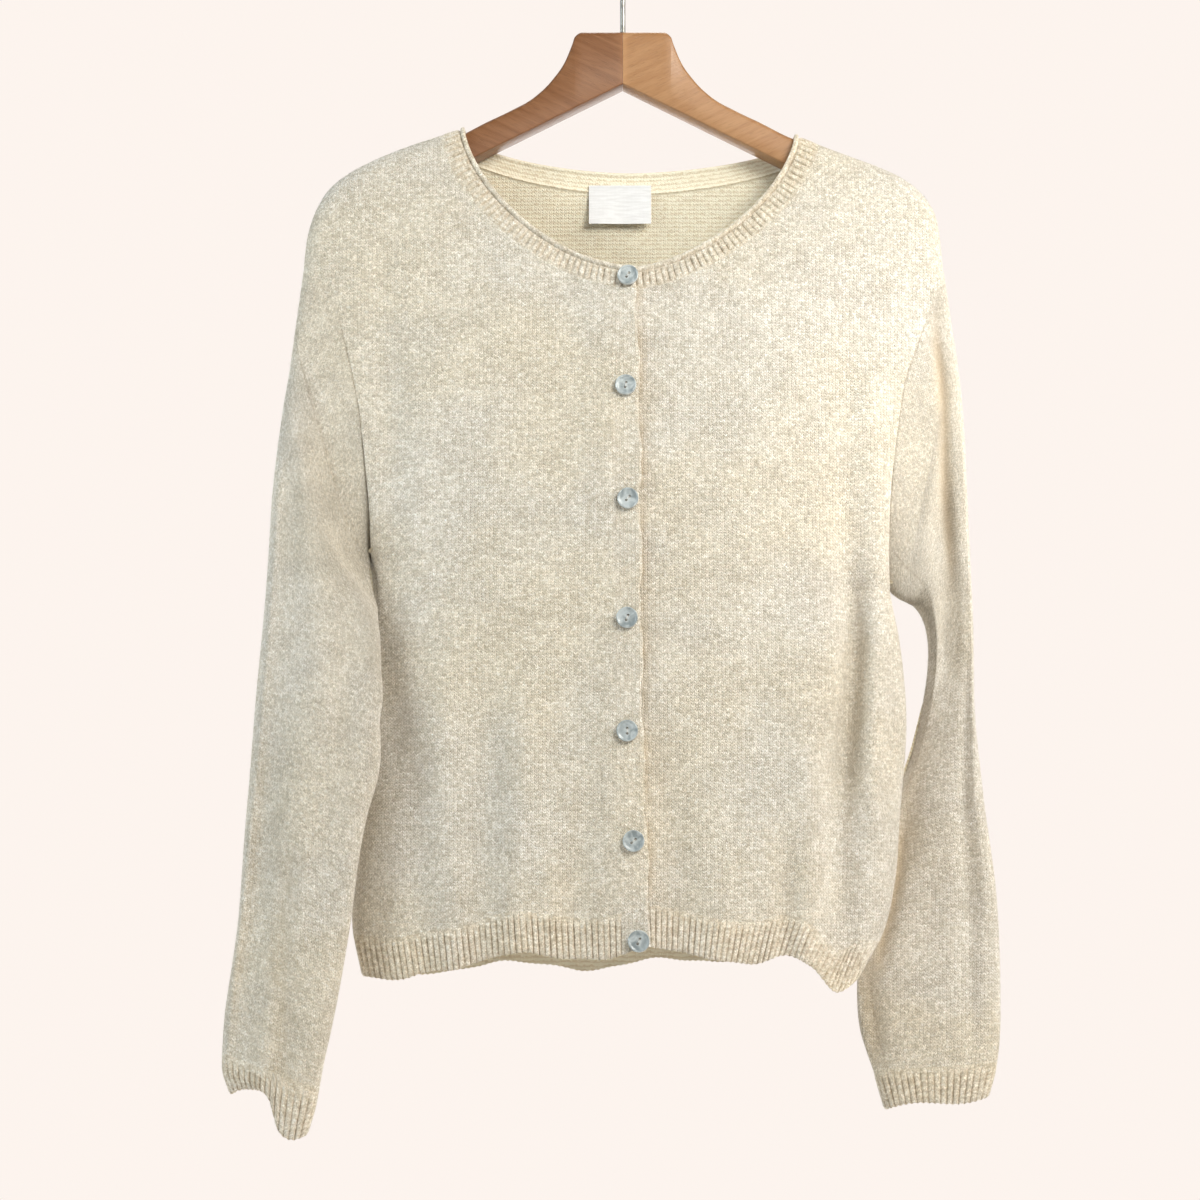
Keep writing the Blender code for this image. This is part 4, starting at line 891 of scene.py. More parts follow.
def new_object(name, data):
    made = bpy.data.objects.new(name, data)
    bpy.context.scene.collection.objects.link(made)
    return made


def piece_from(name, points, faces):
    mesh = bpy.data.meshes.new(name)
    mesh.vertices.add(len(points))
    mesh.vertices.foreach_set("co", np.asarray(points, dtype=np.float32).ravel())
    sides = faces.shape[1]
    mesh.loops.add(faces.size)
    mesh.loops.foreach_set("vertex_index", faces.astype(np.int32).ravel())
    mesh.polygons.add(len(faces))
    mesh.polygons.foreach_set("loop_start", np.arange(0, faces.size, sides, dtype=np.int32))
    mesh.update(calc_edges=True)
    mesh.validate()
    made = new_object(name, mesh)
    shape = bmesh.new()
    shape.from_mesh(mesh)
    if shape.calc_volume(signed=True) < 0:
        bmesh.ops.reverse_faces(shape, faces=shape.faces)
        shape.to_mesh(mesh)
    shape.free()
    mesh.shade_smooth()
    mesh.set_sharp_from_angle(angle=math.radians(50))
    return made


def cloth_piece(
    name, grid, uv, seams, rise=0.0, closed=False, painted_shade=0.0, armhole=(), ridge=0.0, shift=0.0,
    underarm=None,
):
    """A fine wall of cloth over a grid on the solid's outer face, dipped beside its seams, with marks for the
    painted shade along its seams and in its hollows.
    """
    away = grid - grid.mean(1, keepdims=True) if closed else away_from_middle(grid)
    normals = outward(facing(grid, closed), away)
    marks = seam_marks(grid, seams, armhole)
    if underarm:
        marks[3:, underarm] = UNDERARM_SEAM_SHADE
    uneven = 0.6 + 0.5 * np.sin(grid[..., 0] * 1900 + grid[..., 2] * 2300)
    nothing = np.zeros(grid.shape[:2])
    outer = grid + normals * (rise - marks * uneven * SEAM_DIP)[..., None] + shift
    inner = grid - normals * (CLOTH + ridge + nothing)[..., None] + shift
    made = closed_shell(name, outer, inner, uv, closed)
    # The seam marks also set how much painted shade each seam gets.
    add_marks(made, "seam", marks, marks * 0.4)
    # Painted shade on the outer face only.
    add_marks(made, "painted_shade", nothing + painted_shade, nothing)
    add_marks(made, "inside", nothing, nothing + 1)
    return made, outer, normals


def own_values(number, seed, low, high):
    """A value of its own for each rib, between the two given ones."""
    rng = np.random.default_rng(seed)
    return rng.uniform(low, high, number.max() - number.min() + 2)[number - number.min()]


def rib_height(phase, fade, seed):
    """Rounded ribs with narrow grooves between them, each a little different."""
    number = np.floor(phase).astype(int)
    own = own_values(number, seed, 0.7, 1.15)
    groove = np.abs((phase - number) - 0.5) * 2
    return RIB_DEPTH * own * fade * (0.4 - groove**4 * 1.5)


def rib_groove_shade(phase, fade, seed, width=0.30):
    """Painted shade in each groove between ribs, a dark line, broken and uneven."""
    number = np.round(phase).astype(int)
    own = own_values(number, seed, 0.55, 1.0)
    aside = np.abs(phase - number)
    return np.clip(1 - aside / width, 0, 1) * own * fade


def away_from_middle(grid):
    away = np.zeros_like(grid)
    away[..., 1] = grid[..., 1]
    return away


def both_halves(right, left):
    return np.concatenate([right[:, ::-1], left[:, 1:]], axis=1)


def even_columns(grid, count):
    """The grid's rows resampled into even widths, all by the first row's lengths."""
    length = length_along(grid)[0]
    at = np.interp(np.linspace(0, length[-1], count), length, np.arange(grid.shape[1]))
    low = np.clip(at.astype(int), 0, grid.shape[1] - 2)
    part = (at - low)[None, :, None]
    return grid[:, low] * (1 - part) + grid[:, low + 1] * part


def make_panel(name, face, front_view, seams, lapped=False):
    """A front or the back; seams says how strongly each of its sewn edges shows."""
    x, drop = front_view[..., 0], front_view[..., 1]
    grid = on_body(face, x, drop, lapped)
    painted_shade = 0.0
    # Painted shadow on the left front beside the edge of the button band that laps over it.
    if face == "front" and not lapped:
        beside = x - placket_x(drop) - PLACKET / 2
        shade = 0.42 + 0.22 * np.sin(drop * 97 + 2) + 0.14 * np.sin(drop * 211)
        painted_shade = hill(beside, PLACKET_SHADOW) * shade
    armhole = ("first", "last") if face == "back" else ("last",)
    return cloth_piece(name, grid, cloth_map(face, x, drop), seams, painted_shade=painted_shade, armhole=armhole)


def make_hem(name, face, foot, lapped=False):
    """The ribbed band under a panel, its ribs running down and its edge a little frilled."""
    surface = on_body(face, foot[..., 0], foot[..., 1], lapped)
    ribs = round(length_along(surface)[0, -1] / BODY_RIB)
    columns = even_columns(foot, ribs * RIB_STEPS + 1)
    down = np.linspace(0, 1, 15)[:, None]
    phase = np.arange(columns.shape[1]) / RIB_STEPS
    front_view = columns[0] + (columns[1] - columns[0]) * down[..., None]
    frill = 0.0003 * np.cos(2 * math.pi * phase) + 0.0005 * np.sin(phase * 0.7)
    front_view[..., 1] += frill * ease((down - 0.6) / 0.4)
    x, drop = front_view[..., 0], front_view[..., 1]
    grid = on_body(face, x, drop, lapped)
    rise = rib_height(phase + np.zeros_like(x), ease(down / 0.22), len(name))
    rise = rise - EDGE_ROUND * ease((down - 0.93) / 0.07)
    # Painted shade in the grooves between the hem's ribs.
    painted_shade = rib_groove_shade(phase + np.zeros_like(x), ease((down - 0.04) / 0.3), len(name))
    return cloth_piece(name, grid, cloth_map(face, x, drop), {}, rise, painted_shade=painted_shade)


def ring_map(rings):
    """The cloth's own map of a tube, its first column at the inner edge: widths and lengths up."""
    joined = np.concatenate([rings, rings[:, :1]], axis=1)
    around = length_along(joined)
    around = around - around[:, rings.shape[1] // 2, None]
    down = length_down(joined)
    return np.stack([around, down[-1] - down], -1)


def sleeve_rings(half, turns, places):
    return np.stack([ring_points(half, place, turns) for place in places])


def make_sleeve(half):
    """A sleeve from its seam in the armhole down to the seam of its cuff."""
    seam = len(SLEEVE[half]) - 2
    turns = (math.pi + np.linspace(0, 2 * math.pi, SLEEVE_COLUMNS, endpoint=False)) % (2 * math.pi)
    below = sleeve_rings(half, turns, np.linspace(0, seam, SLEEVE_RINGS))
    rings = np.concatenate([armhole_loop(half, turns)[None], below])
    length = length_along(np.moveaxis(rings, 0, 1)).mean(0)
    at = np.interp(fine_lengths(length[-1]), length, np.arange(len(length)))
    grid = fluted(half, between_rows(rings, at))
    painted_shade = creased(half, grid, turns)
    shift = laid_over(grid, turns) if half == "right" else 0.0
    return cloth_piece(
        "sleeve_cloth_" + half, grid, ring_map(grid), {"top": 0.8}, closed=True, armhole=("top",),
        shift=shift, painted_shade=painted_shade, underarm=UNDERARM_SEAM[half],
    )


def creased(half, grid, turns):
    """Presses the creases into the front of a sleeve, and gives how much painted shade each point gets from
    them.
    """
    x, drop = grid[..., 0], -grid[..., 2]
    front = ease(np.sin(turns) / 0.3)
    painted_shade = np.zeros_like(x)
    for crease in CREASES[half]:
        part = (drop - crease.drop_top) / (crease.drop_foot - crease.drop_top)
        line = crease.x_top + (crease.x_foot - crease.x_top) * part + 0.001 * np.sin(drop * 60)
        ends = ease(part / 0.25) * ease((1 - part) / 0.3)
        near = hill(x - line, crease.width) * ends * front
        grid[..., 1] += crease.depth * near
        # Painted shade: darker the nearer the crease's line.
        painted_shade = np.maximum(painted_shade, crease.shade * near)
    return painted_shade


def laid_over(grid, turns):
    """How far the front of the right sleeve moves, to roll over its seam onto the body's edge."""
    drop = -grid[..., 2]
    armpit = armpit_drop("right")
    drops = [armpit, *column(SLEEVE["right"], "in_drop")]
    below = np.interp(drop, drops, [side_out("right", armpit), *column(SLEEVE["right"], "in_x")])
    edge = -np.where(drop < armpit, side_out("right", drop), below)
    reach = np.interp(drop, *np.array(REST_EDGE).T, left=-1, right=-1)
    shift = np.maximum(reach - edge, 0)
    near = hill(edge - grid[..., 0], ROLL_WIDTH)
    front = ease((math.pi + 0.15 - turns) / 0.5) * ease(turns / 0.5)
    start = ease(length_down(grid) / 0.016)
    inward = shift * (near * front * start)
    over = -(stand_off("front", grid[..., 0] + inward, drop) + CLOTH + ROLL_CLEAR)
    forward = np.minimum(over - grid[..., 1], 0) * ease(inward / 0.003)
    return np.stack([inward, forward, np.zeros_like(inward)], -1)


def fluted(half, grid):
    """Slow unevenness over a sleeve, fading out at both of its ends."""
    middle = grid.mean(1, keepdims=True)
    way = unit(grid - middle)
    turn = np.linspace(0, 2 * math.pi, grid.shape[1], endpoint=False)
    along = np.linspace(0, 1, len(grid))[:, None]
    seed = 1.3 if half == "right" else 4.1
    wave = np.sin(turn * 3 + along * 9 + seed) + 0.7 * np.sin(turn * 5 - along * 17 + seed * 2)
    wave = wave + 0.5 * np.sin(turn * 2 + along * 31 - seed)
    fade = ease(along / 0.12) * ease((1 - along) / 0.08)
    return grid + way * (wave * fade)[..., None] * FLUTE_HEIGHT


def make_cuff(half):
    """A ribbed cuff, frilled at its edge. The right one also rises in a notch there."""
    seam = len(SLEEVE[half]) - 2
    turns = np.linspace(0, 2 * math.pi, 401)
    middle = length_along(ring_points(half, seam + 0.5, turns))
    ribs = round(middle[-1] / CUFF_RIB)
    steps = np.arange(ribs * RIB_STEPS) / RIB_STEPS
    turns = (math.pi + np.interp(steps / ribs * middle[-1], middle, turns)) % (2 * math.pi)
    down = np.linspace(0, 1, 13)[:, None]
    grid = sleeve_rings(half, turns, seam + down[:, 0])
    grid[..., 2] -= 0.0004 * np.cos(2 * math.pi * steps) * ease((down - 0.6) / 0.4)
    if half == "right":
        beside = grid[..., 0] + CUFF_NOTCH_OUT
        width = np.where(beside < 0, 0.0095, 0.0042)
        grid[..., 2] += CUFF_NOTCH_RISE * hill(beside, width) * down**1.5
    rise = rib_height(steps + np.zeros_like(down), ease(down / 0.25), 7)
    rise = rise - EDGE_ROUND * ease((down - 0.92) / 0.08)
    # Painted shade in the grooves between the cuff's ribs.
    painted_shade = rib_groove_shade(steps + np.zeros_like(down), ease((down - 0.04) / 0.3), 7)
    return cloth_piece("cuff_cloth_" + half, grid, ring_map(grid), {}, rise, closed=True, painted_shade=painted_shade)


def band_rise(grow, phase):
    """The neckband's relief: ribs over its width, then a groove and the rolled edge."""
    ribs = rib_height(phase, ease((0.0158 - grow) / 0.003) * ease((grow - 0.0036) / 0.0012), 11)
    groove = -0.0011 * hill(grow - ROLL_GROOVE, 0.0006)
    roll = 0.0011 * np.sqrt(np.clip(1 - ((grow - 0.0014) / 0.0015) ** 2, 0, 1))
    return ribs + groove + roll


def make_neckband():
    """One ribbed strip round the neck, the right front's end lapped over the left one's."""
    def fine(angles):
        return np.interp(np.linspace(0, len(angles) - 1, 12 * len(angles)), range(len(angles)), angles)

    def lapped_end(places, grow, lapped):
        ends = (band_end(x, grow) for x in places)
        return [on_body("front", np.array(x), np.array(drop), lapped) for x, drop in ends]

    middle_drop = NECK_DROP["front"] + NECKBAND
    over = np.linspace(placket_edge("left", middle_drop), placket_edge("right", middle_drop), 24)
    rows = []
    for grow in BAND_ROWS:
        row = lapped_end(over[:-1], grow, True)
        for face, half in (("front", "right"), ("back", "right"), ("back", "left"), ("front", "left")):
            angles = fine(neck_angles(face, half))
            angles = angles if (face == "front") == (half == "right") else angles[::-1]
            x, drop = neck_curve(face, half, angles, grow)
            row += list(on_body(face, x, drop, face == "front" and half == "right"))
        rows.append(np.stack(row + lapped_end(over[1:], grow, False)))
    strip = np.stack(rows)
    keep = np.concatenate([[True], np.linalg.norm(np.diff(strip[0], axis=0), axis=-1) > 1e-6])
    strip = strip[:, keep]
    ribs = round(length_along(strip)[0, -1] / NECK_RIB)
    grid = even_columns(strip, ribs * RIB_STEPS + 1)
    phase = np.arange(grid.shape[1]) / RIB_STEPS
    grow = np.array(BAND_ROWS)[:, None]
    rise = band_rise(grow, phase + np.zeros_like(grow))
    uv = np.stack([length_along(grid)[0] + np.zeros_like(grow), -grow + np.zeros_like(phase)], -1)
    across = ease((grow - 0.0040) / 0.001)
    # Painted shade: two dark lines in the grooves of each rib of the neckband.
    painted_shade = np.maximum(rib_groove_shade(phase + 0.2, across, 21, 0.16), rib_groove_shade(phase - 0.2, across, 22, 0.16))
    # Painted shade: a dark line in the groove under the rolled edge.
    painted_shade = np.maximum(painted_shade, 0.8 * hill(grow - ROLL_GROOVE, 0.0005))
    ridge = 0.0012 * hill(grow - 0.0142, 0.0011) + 0.0008 * hill(grow - 0.0015, 0.0012)
    return cloth_piece("neckband_cloth", grid, uv, {"top": 0.3}, rise, painted_shade=painted_shade, ridge=ridge)


def make_placket(half, lapped):
    """A plain button band; its free edge wanders a little, as hand-pressed knit does."""
    foot_drop = HEM["front"][7].drop
    count = round((foot_drop - NECK_DROP["front"]) / GRID_STEP)
    rows = np.linspace(0, 1, count)[:, None]
    across = np.array([-1.0, -0.93, -0.8, -0.6, -0.3, 0.0, 0.3, 0.6, 0.8, 0.93, 1.0])
    start_x = placket_x(NECK_DROP["front"] + NECKBAND) + across * PLACKET / 2
    start = np.array([band_end(x, NECKBAND)[1] for x in start_x])
    foot_x = placket_x(foot_drop) + across * PLACKET / 2
    foot = read_table(HEM["front"], "x", "drop", foot_x)
    drop = start + (foot - start) * rows
    wander = 0.0009 * np.sin(drop * 97 + 2) + 0.0004 * np.sin(drop * 301 + 1)
    free = -SIGN[half] * across
    x = placket_x(drop) + across * PLACKET / 2 + np.where(free > 0, wander * np.abs(across) ** 3, 0)
    grid = on_body("front", x, drop, lapped)
    rise = -0.0010 * np.clip((free - 0.85) / 0.15, 0, 1) ** 2 + 0.0004 * hill(free - 0.75, 0.12)
    seams = {"first" if half == "right" else "last": 0.12}
    rise = rise + np.zeros_like(x)
    return cloth_piece("placket_cloth_" + half, grid, cloth_map("front", x, drop), seams, rise)


def only(piece):
    bpy.ops.object.select_all(action="DESELECT")
    piece.select_set(True)
    bpy.context.view_layer.objects.active = piece


def pick_faces(piece, side):
    """In edit mode, selects just the faces that look up or, where side is -1, down."""
    bpy.ops.mesh.select_all(action="DESELECT")
    shape = bmesh.from_edit_mesh(piece.data)
    for face in shape.faces:
        face.select_set(side * face.normal.z > 0.9)
    bmesh.update_edit_mesh(piece.data)


def apply_modifier(piece, kind, **settings):
    only(piece)
    added = piece.modifiers.new(kind.lower(), kind)
    for name, value in settings.items():
        setattr(added, name, value)
    bpy.ops.object.modifier_apply(modifier=added.name)


def turned_button():
    """A shell button lying face up: a rolled rim, a dished middle and two thread holes."""
    bpy.ops.object.select_all(action="DESELECT")
    bpy.ops.mesh.primitive_cylinder_add(vertices=56, radius=BUTTON_RADIUS, depth=BUTTON_THICK)
    disc = bpy.context.object
    bpy.ops.object.mode_set(mode="EDIT")
    pick_faces(disc, 1)
    for width, depth in ((0.0009, 0.0), (0.0006, -0.0005), (0.0016, -0.0002)):
        bpy.ops.mesh.inset(thickness=width, depth=depth)
    pick_faces(disc, -1)
    bpy.ops.mesh.inset(thickness=0.0012, depth=0.0)
    bpy.ops.object.mode_set(mode="OBJECT")
    sharp = math.radians(25)
    apply_modifier(disc, "BEVEL", width=0.00035, segments=3, limit_method="ANGLE", angle_limit=sharp)
    for side in (-1, 1):
        bpy.ops.object.select_all(action="DESELECT")
        at = (side * HOLE_AWAY * HOLES_TURNED[0], side * HOLE_AWAY * HOLES_TURNED[1], 0)
        bpy.ops.mesh.primitive_cylinder_add(vertices=20, radius=0.00085, depth=0.01, location=at)
        drill = bpy.context.object
        apply_modifier(disc, "BOOLEAN", operation="DIFFERENCE", object=drill, solver="EXACT")
        bpy.data.objects.remove(drill)
    only(disc)
    bpy.ops.object.shade_smooth_by_angle(angle=math.radians(32))
    return disc


def ring_faces(rows, count):
    """The numbers of the points in each of some closed rings, and the faces between the rings."""
    order = np.arange(rows * count).reshape(rows, count)
    after = np.roll(order, -1, axis=1)
    faces = np.stack([order[:-1], after[:-1], after[1:], order[1:]], -1).reshape(-1, 4)
    return order.tolist(), faces.tolist()


def turned_outward(name, points, faces):
    """A closed piece with all its faces turned outward."""
    mesh = bpy.data.meshes.new(name)
    mesh.from_pydata(points.tolist(), [], faces)
    made = new_object(name, mesh)
    only(made)
    bpy.ops.object.mode_set(mode="EDIT")
    bpy.ops.mesh.select_all(action="SELECT")
    bpy.ops.mesh.normals_make_consistent(inside=False)
    bpy.ops.object.mode_set(mode="OBJECT")
    return made


def wound_tube(name, path, radius, sides, tips=1.0):
    """A tube along a path of points, closed at both ends; tips says how it narrows along the way."""
    path = np.asarray(path, dtype=float)
    along = unit(np.gradient(path, axis=0))
    side = unit(np.cross(along, (0.0, 1.0, 0.0) if abs(along[0][1]) < 0.8 else (1.0, 0.0, 0.0)))
    over = np.cross(along, side)
    turns = np.linspace(0, 2 * math.pi, sides, endpoint=False)
    radii = np.full(len(path), radius) * tips
    rings = path[:, None] + radii[:, None, None] * (
        side[:, None] * np.cos(turns)[None, :, None] + over[:, None] * np.sin(turns)[None, :, None]
    )
    points = np.concatenate([rings.reshape(-1, 3), path[:1], path[-1:]])
    order, faces = ring_faces(len(path), sides)
    last = len(points) - 1
    faces += [(b, a, last - 1) for a, b in zip(order[0], order[0][1:] + order[0][:1])]
    faces += [(a, b, last) for a, b in zip(order[-1], order[-1][1:] + order[-1][:1])]
    made = turned_outward(name, points, faces)
    made.data.shade_smooth()
    return made


def button_place(number):
    """Where a button lies: its middle, and the turn that lays it on the cloth."""
    place = BUTTONS[number - 1]
    span = np.array([[-0.004, 0.0, 0.004]])
    x, drop = place.x + span + np.zeros((3, 1)), place.drop + span.T + np.zeros((1, 3))
    patch = on_body("front", x, drop, True)
    normal = outward(facing(patch), away_from_middle(patch))[1, 1]
    tilt, turn = math.asin(-normal[2]), math.atan2(normal[0], -normal[1])
    lift = SEAM_GAP + (0.0014 if number == 1 else 0.0006)
    centre = Vector(patch[1, 1] + normal * (lift + BUTTON_THICK / 2))
    return Matrix.Translation(centre) @ Euler((math.pi / 2 + tilt, 0, turn)).to_matrix().to_4x4()


def make_buttons():
    blank = turned_button()
    buttons = []
    for number in range(1, len(BUTTONS) + 1):
        made = blank.copy()
        made.data = blank.data.copy()
        made.name = f"shell_button_{number}"
        bpy.context.scene.collection.objects.link(made)
        spin = Matrix.Rotation(BUTTON_SPINS[number - 1], 4, "Z")
        matrix = button_place(number) @ spin
        made.data.transform(matrix)
        made.matrix_world = Matrix.Identity(4)
        buttons.append((made, make_thread(number, matrix)))
    bpy.data.objects.remove(blank)
    return buttons


def make_thread(number, matrix):
    """Two strands of sewing thread through a button's two holes."""
    strands = []
    turn = np.linspace(-1, 1, 13)
    right, up = HOLES_TURNED
    for strand, aside in enumerate((-STRAND_ASIDE, STRAND_ASIDE)):
        along = HOLE_AWAY * np.clip(turn * 1.15, -1, 1)
        height = BUTTON_THICK / 2 - 0.0004 + 0.0005 * (1 - np.abs(turn) ** 3) - 0.0016 * (np.abs(turn) > 0.9)
        across = np.full_like(turn, aside) + 0.00008 * strand
        path = np.stack([along * right - across * up, along * up + across * right, height], -1)
        path = [tuple(matrix @ Vector(p)) for p in path]
        strands.append(wound_tube(f"strand_{number}_{strand}", path, STRAND_RADIUS, 6))
    return joined_pieces(f"button_thread_{number}", strands)


def joined_pieces(name, pieces):
    bpy.ops.object.select_all(action="DESELECT")
    for piece in pieces:
        piece.select_set(True)
    bpy.context.view_layer.objects.active = pieces[0]
    bpy.ops.object.join()
    pieces[0].name = name
    pieces[0].data.name = name
    return pieces[0]


def make_label():
    """The blank woven label inside the back, its foot standing away from the cloth."""
    x = np.linspace(LABEL_LEFT, LABEL_RIGHT, 44) + np.zeros((28, 1))
    drop = np.linspace(LABEL_TOP, LABEL_FOOT, 28)[:, None] + np.zeros((1, 44))
    surface = on_body("back", x, drop)
    normals = outward(facing(surface), away_from_middle(surface))
    across, down = (x - x.min()) / np.ptp(x), (drop - drop.min()) / np.ptp(drop)
    lift = WALL + LABEL_CLEAR + 0.0004 + 0.0007 * np.sin(across * 7 + 1) * down + LABEL_FLARE * down**2
    front = surface - normals * lift[..., None]
    back = front + normals * LABEL_THICK
    uv = np.stack([x, -drop], -1)
    return closed_shell("woven_neck_label", front, back, uv)


def arm_outline(section, sign):
    """Across the arm: a well rounded top, and a flat foot with a narrow round to each edge."""
    points = []
    for side, level, radius, turns in (
        (-1, "top", 0.0042, (90, 65, 40, 20, 0)), (1, "top", 0.0042, (0, 20, 40, 65, 90)),
        (1, "foot", 0.0012, (90, 60, 30, 0)), (-1, "foot", 0.0012, (0, 30, 60, 90)),
    ):
        radius = min(radius, section.half_thick * 0.6)
        for turn in np.radians(turns):
            y = side * (section.half_thick - radius + radius * math.sin(turn))
            inward = radius - radius * math.cos(turn)
            points.append((y, section.top + inward if level == "top" else section.foot - inward))
    return [(sign * section.out, y, -drop) for y, drop in points]


def make_arm(half):
    """Half of the wooden hanger: a flat block at the mitre, then a slim arm down to its tip."""
    spans = ((0.0, BLOCK_END, 8), (0.0277, BLEND_END, 12), (0.034, 0.060, 20), (0.063, 0.187, 46))
    outs = [np.linspace(*span) for span in spans]
    outs.append(ARM[-1].out - 0.003 * (1 - np.linspace(0, 1, 8)[1:]) ** 2)
    mitre, middle, arm = ARM[0], ARM[2], ARM[2:]
    sections = []
    for out in np.concatenate(outs):
        if out <= BLEND_END:
            top = BLOCK_TOP + 0.0040 * max(0.0, (out - BLOCK_END) / BLOCK_BLEND) ** 2.2
            foot = mitre.foot + (middle.foot - mitre.foot) * out / middle.out
            sections.append(Section(out, top, foot, mitre.half_thick))
        else:
            sizes = (float(read_table(arm, "out", name, out)) for name in Section._fields[1:])
            sections.append(Section(out, *sizes))
    sections[0] = sections[0]._replace(out=SEAM_GAP / 4)
    rings = np.array([arm_outline(section, SIGN[half]) for section in sections])
    order, faces = ring_faces(*rings.shape[:2])
    faces += [order[0][::-1], order[-1]]
    made = turned_outward("wooden_arm_" + half, rings.reshape(-1, 3), faces)
    bpy.ops.object.shade_smooth_by_angle(angle=math.radians(35))
    return made


def make_hook():
    route = np.array(hook_route())
    length = length_along(route)
    at = np.linspace(0, length[-1], HOOK_STEPS)
    path = np.zeros((HOOK_STEPS, 3))
    path[:, 0], path[:, 2] = (np.interp(at, length, route[:, way]) for way in (0, 1))
    path[1:-1] = (path[:-2] + 2 * path[1:-1] + path[2:]) / 4
    tips = np.ones(HOOK_STEPS)
    tips[:3] = (0.55, 0.85, 0.97)
    return wound_tube("wire_hook", path, WIRE, 20, tips)


class Nodes:
    """Adds and joins shader nodes inside one node tree."""

    def __init__(self, tree):
        self.tree = tree

    def join(self, source, socket):
        """Links a source, or sets a plain value. A colour may come without its alpha."""
        if not isinstance(source, (int, float, tuple)):
            self.tree.links.new(source, socket)
        elif isinstance(source, tuple) and len(source) < len(socket.default_value):
            socket.default_value = (*source, 1.0)
        else:
            socket.default_value = source

    def fill(self, node, values):
        for name, value in values.items():
            self.join(value, node.inputs[name])

    def add(self, kind, values=None, **settings):
        """A new node with these settings, and these values for its inputs by name or number."""
        node = self.tree.nodes.new(kind)
        for name, value in settings.items():
            setattr(node, name, value)
        self.fill(node, values or {})
        return node

    def sum(self, operation, *values):
        return self.add("ShaderNodeMath", dict(enumerate(values)), operation=operation).outputs[0]

    def times(self, first, second):
        return self.sum("MULTIPLY", first, second)

    def plus(self, first, second):
        return self.sum("ADD", first, second)

    def vector(self, operation, first, second):
        values = {0: first, "Scale" if operation == "SCALE" else 1: second}
        return self.add("ShaderNodeVectorMath", values, operation=operation).outputs["Vector"]

    def split(self, vector):
        parts = self.add("ShaderNodeSeparateXYZ", {0: vector}).outputs
        return parts["X"], parts["Y"]

    def flat(self, x, y):
        return self.add("ShaderNodeCombineXYZ", {0: x, 1: y}).outputs[0]

    def place(self):
        return self.add("ShaderNodeTexCoord").outputs["Object"]

    def cloth(self):
        return self.add("ShaderNodeUVMap", uv_map="cloth").outputs["UV"]

    def mark(self, name):
        return self.add("ShaderNodeAttribute", attribute_name=name).outputs["Fac"]

    def edge(self):
        return self.add("ShaderNodeNewGeometry").outputs["Pointiness"]

    def noise(self, vector, scale, detail=2.0, roughness=0.5, distortion=0.0, output="Fac"):
        values = {"Vector": vector, "Scale": scale, "Detail": detail, "Roughness": roughness}
        values["Distortion"] = distortion
        return self.add("ShaderNodeTexNoise", values).outputs[output]

    def remap(self, value, low, high, to_low=0.0, to_high=1.0, smooth=True):
        values = dict(enumerate((value, low, high, to_low, to_high)))
        way = "SMOOTHSTEP" if smooth else "LINEAR"
        return self.add("ShaderNodeMapRange", values, interpolation_type=way).outputs["Result"]

    def mix(self, part, first, second, blend="MIX"):
        node = self.add("ShaderNodeMix", data_type="RGBA", blend_type=blend, clamp_factor=True)
        self.fill(node, {"Factor": part, 6: first, 7: second})
        return node.outputs[2]

    def tinted(self, colour, tint):
        return self.mix(1.0, colour, tint, "MULTIPLY")

    def bump(self, height, strength, distance):
        values = {"Strength": strength, "Distance": distance, "Height": height}
        return self.add("ShaderNodeBump", values).outputs[0]

    def placed(self, group, values):
        node = self.add("ShaderNodeGroup", node_tree=group)
        self.fill(node, values)
        return node.outputs


def new_group(name, inputs, outputs):
    """A node group. Its inputs are vectors or, where they have a value, numbers, as its outputs are."""
    group = bpy.data.node_groups.new(name, "ShaderNodeTree")
    for label, value in inputs.items():
        kind = "NodeSocketVector" if value is None else "NodeSocketFloat"
        socket = group.interface.new_socket(name=label, in_out="INPUT", socket_type=kind)
        if value is not None:
            socket.default_value = value
    for label in outputs:
        group.interface.new_socket(name=label, in_out="OUTPUT", socket_type="NodeSocketFloat")
    made = Nodes(group)
    return made, made.add("NodeGroupInput").outputs, made.add("NodeGroupOutput")


def knit_group():
    """Columns of V-shaped stitches on a flat cloth map in metres, each stitch a little different, with a mask
    for the painted shade in the gaps between them.
    """
    sizes = {"Stitch Width": 0.00250, "Stitch Height": 0.00190, "Unevenness": 0.0017, "Slant": 0.85}
    n, given, out = new_group("knit stitches", {"Cloth": None, **sizes}, ("Height", "Gap Shade", "Own"))

    def hump(way, power):
        return n.sum("POWER", n.sum("MAXIMUM", n.sum("SINE", n.times(way, math.pi)), 0.0), power)

    wander = n.noise(given["Cloth"], 210.0, 1.0, output="Color")
    moved = n.vector("SCALE", n.vector("SUBTRACT", wander, (0.5, 0.5, 0.5)), given["Unevenness"])
    x, y = n.split(n.vector("ADD", given["Cloth"], moved))
    column = n.sum("DIVIDE", x, given["Stitch Width"])
    row = n.sum("DIVIDE", y, given["Stitch Height"])
    inside = n.sum("FRACT", column)
    away = n.times(n.sum("ABSOLUTE", n.sum("SUBTRACT", inside, 0.5)), 2.0)
    legs = n.sum("SUBTRACT", row, n.times(away, given["Slant"]))
    between = n.plus(n.times(n.sum("COSINE", n.times(legs, 2 * math.pi)), 0.5), 0.5)
    height = n.times(n.plus(n.times(between, 0.78), 0.22), n.times(hump(inside, 0.45), hump(away, 0.3)))
    cell = n.flat(n.sum("FLOOR", column), n.sum("FLOOR", n.plus(legs, 0.5)))
    own = n.add("ShaderNodeTexWhiteNoise", {"Vector": cell}, noise_dimensions="2D").outputs["Value"]
    n.fill(out, {"Height": height, "Gap Shade": n.remap(height, 0.45, 0.08), "Own": own})
    return n.tree


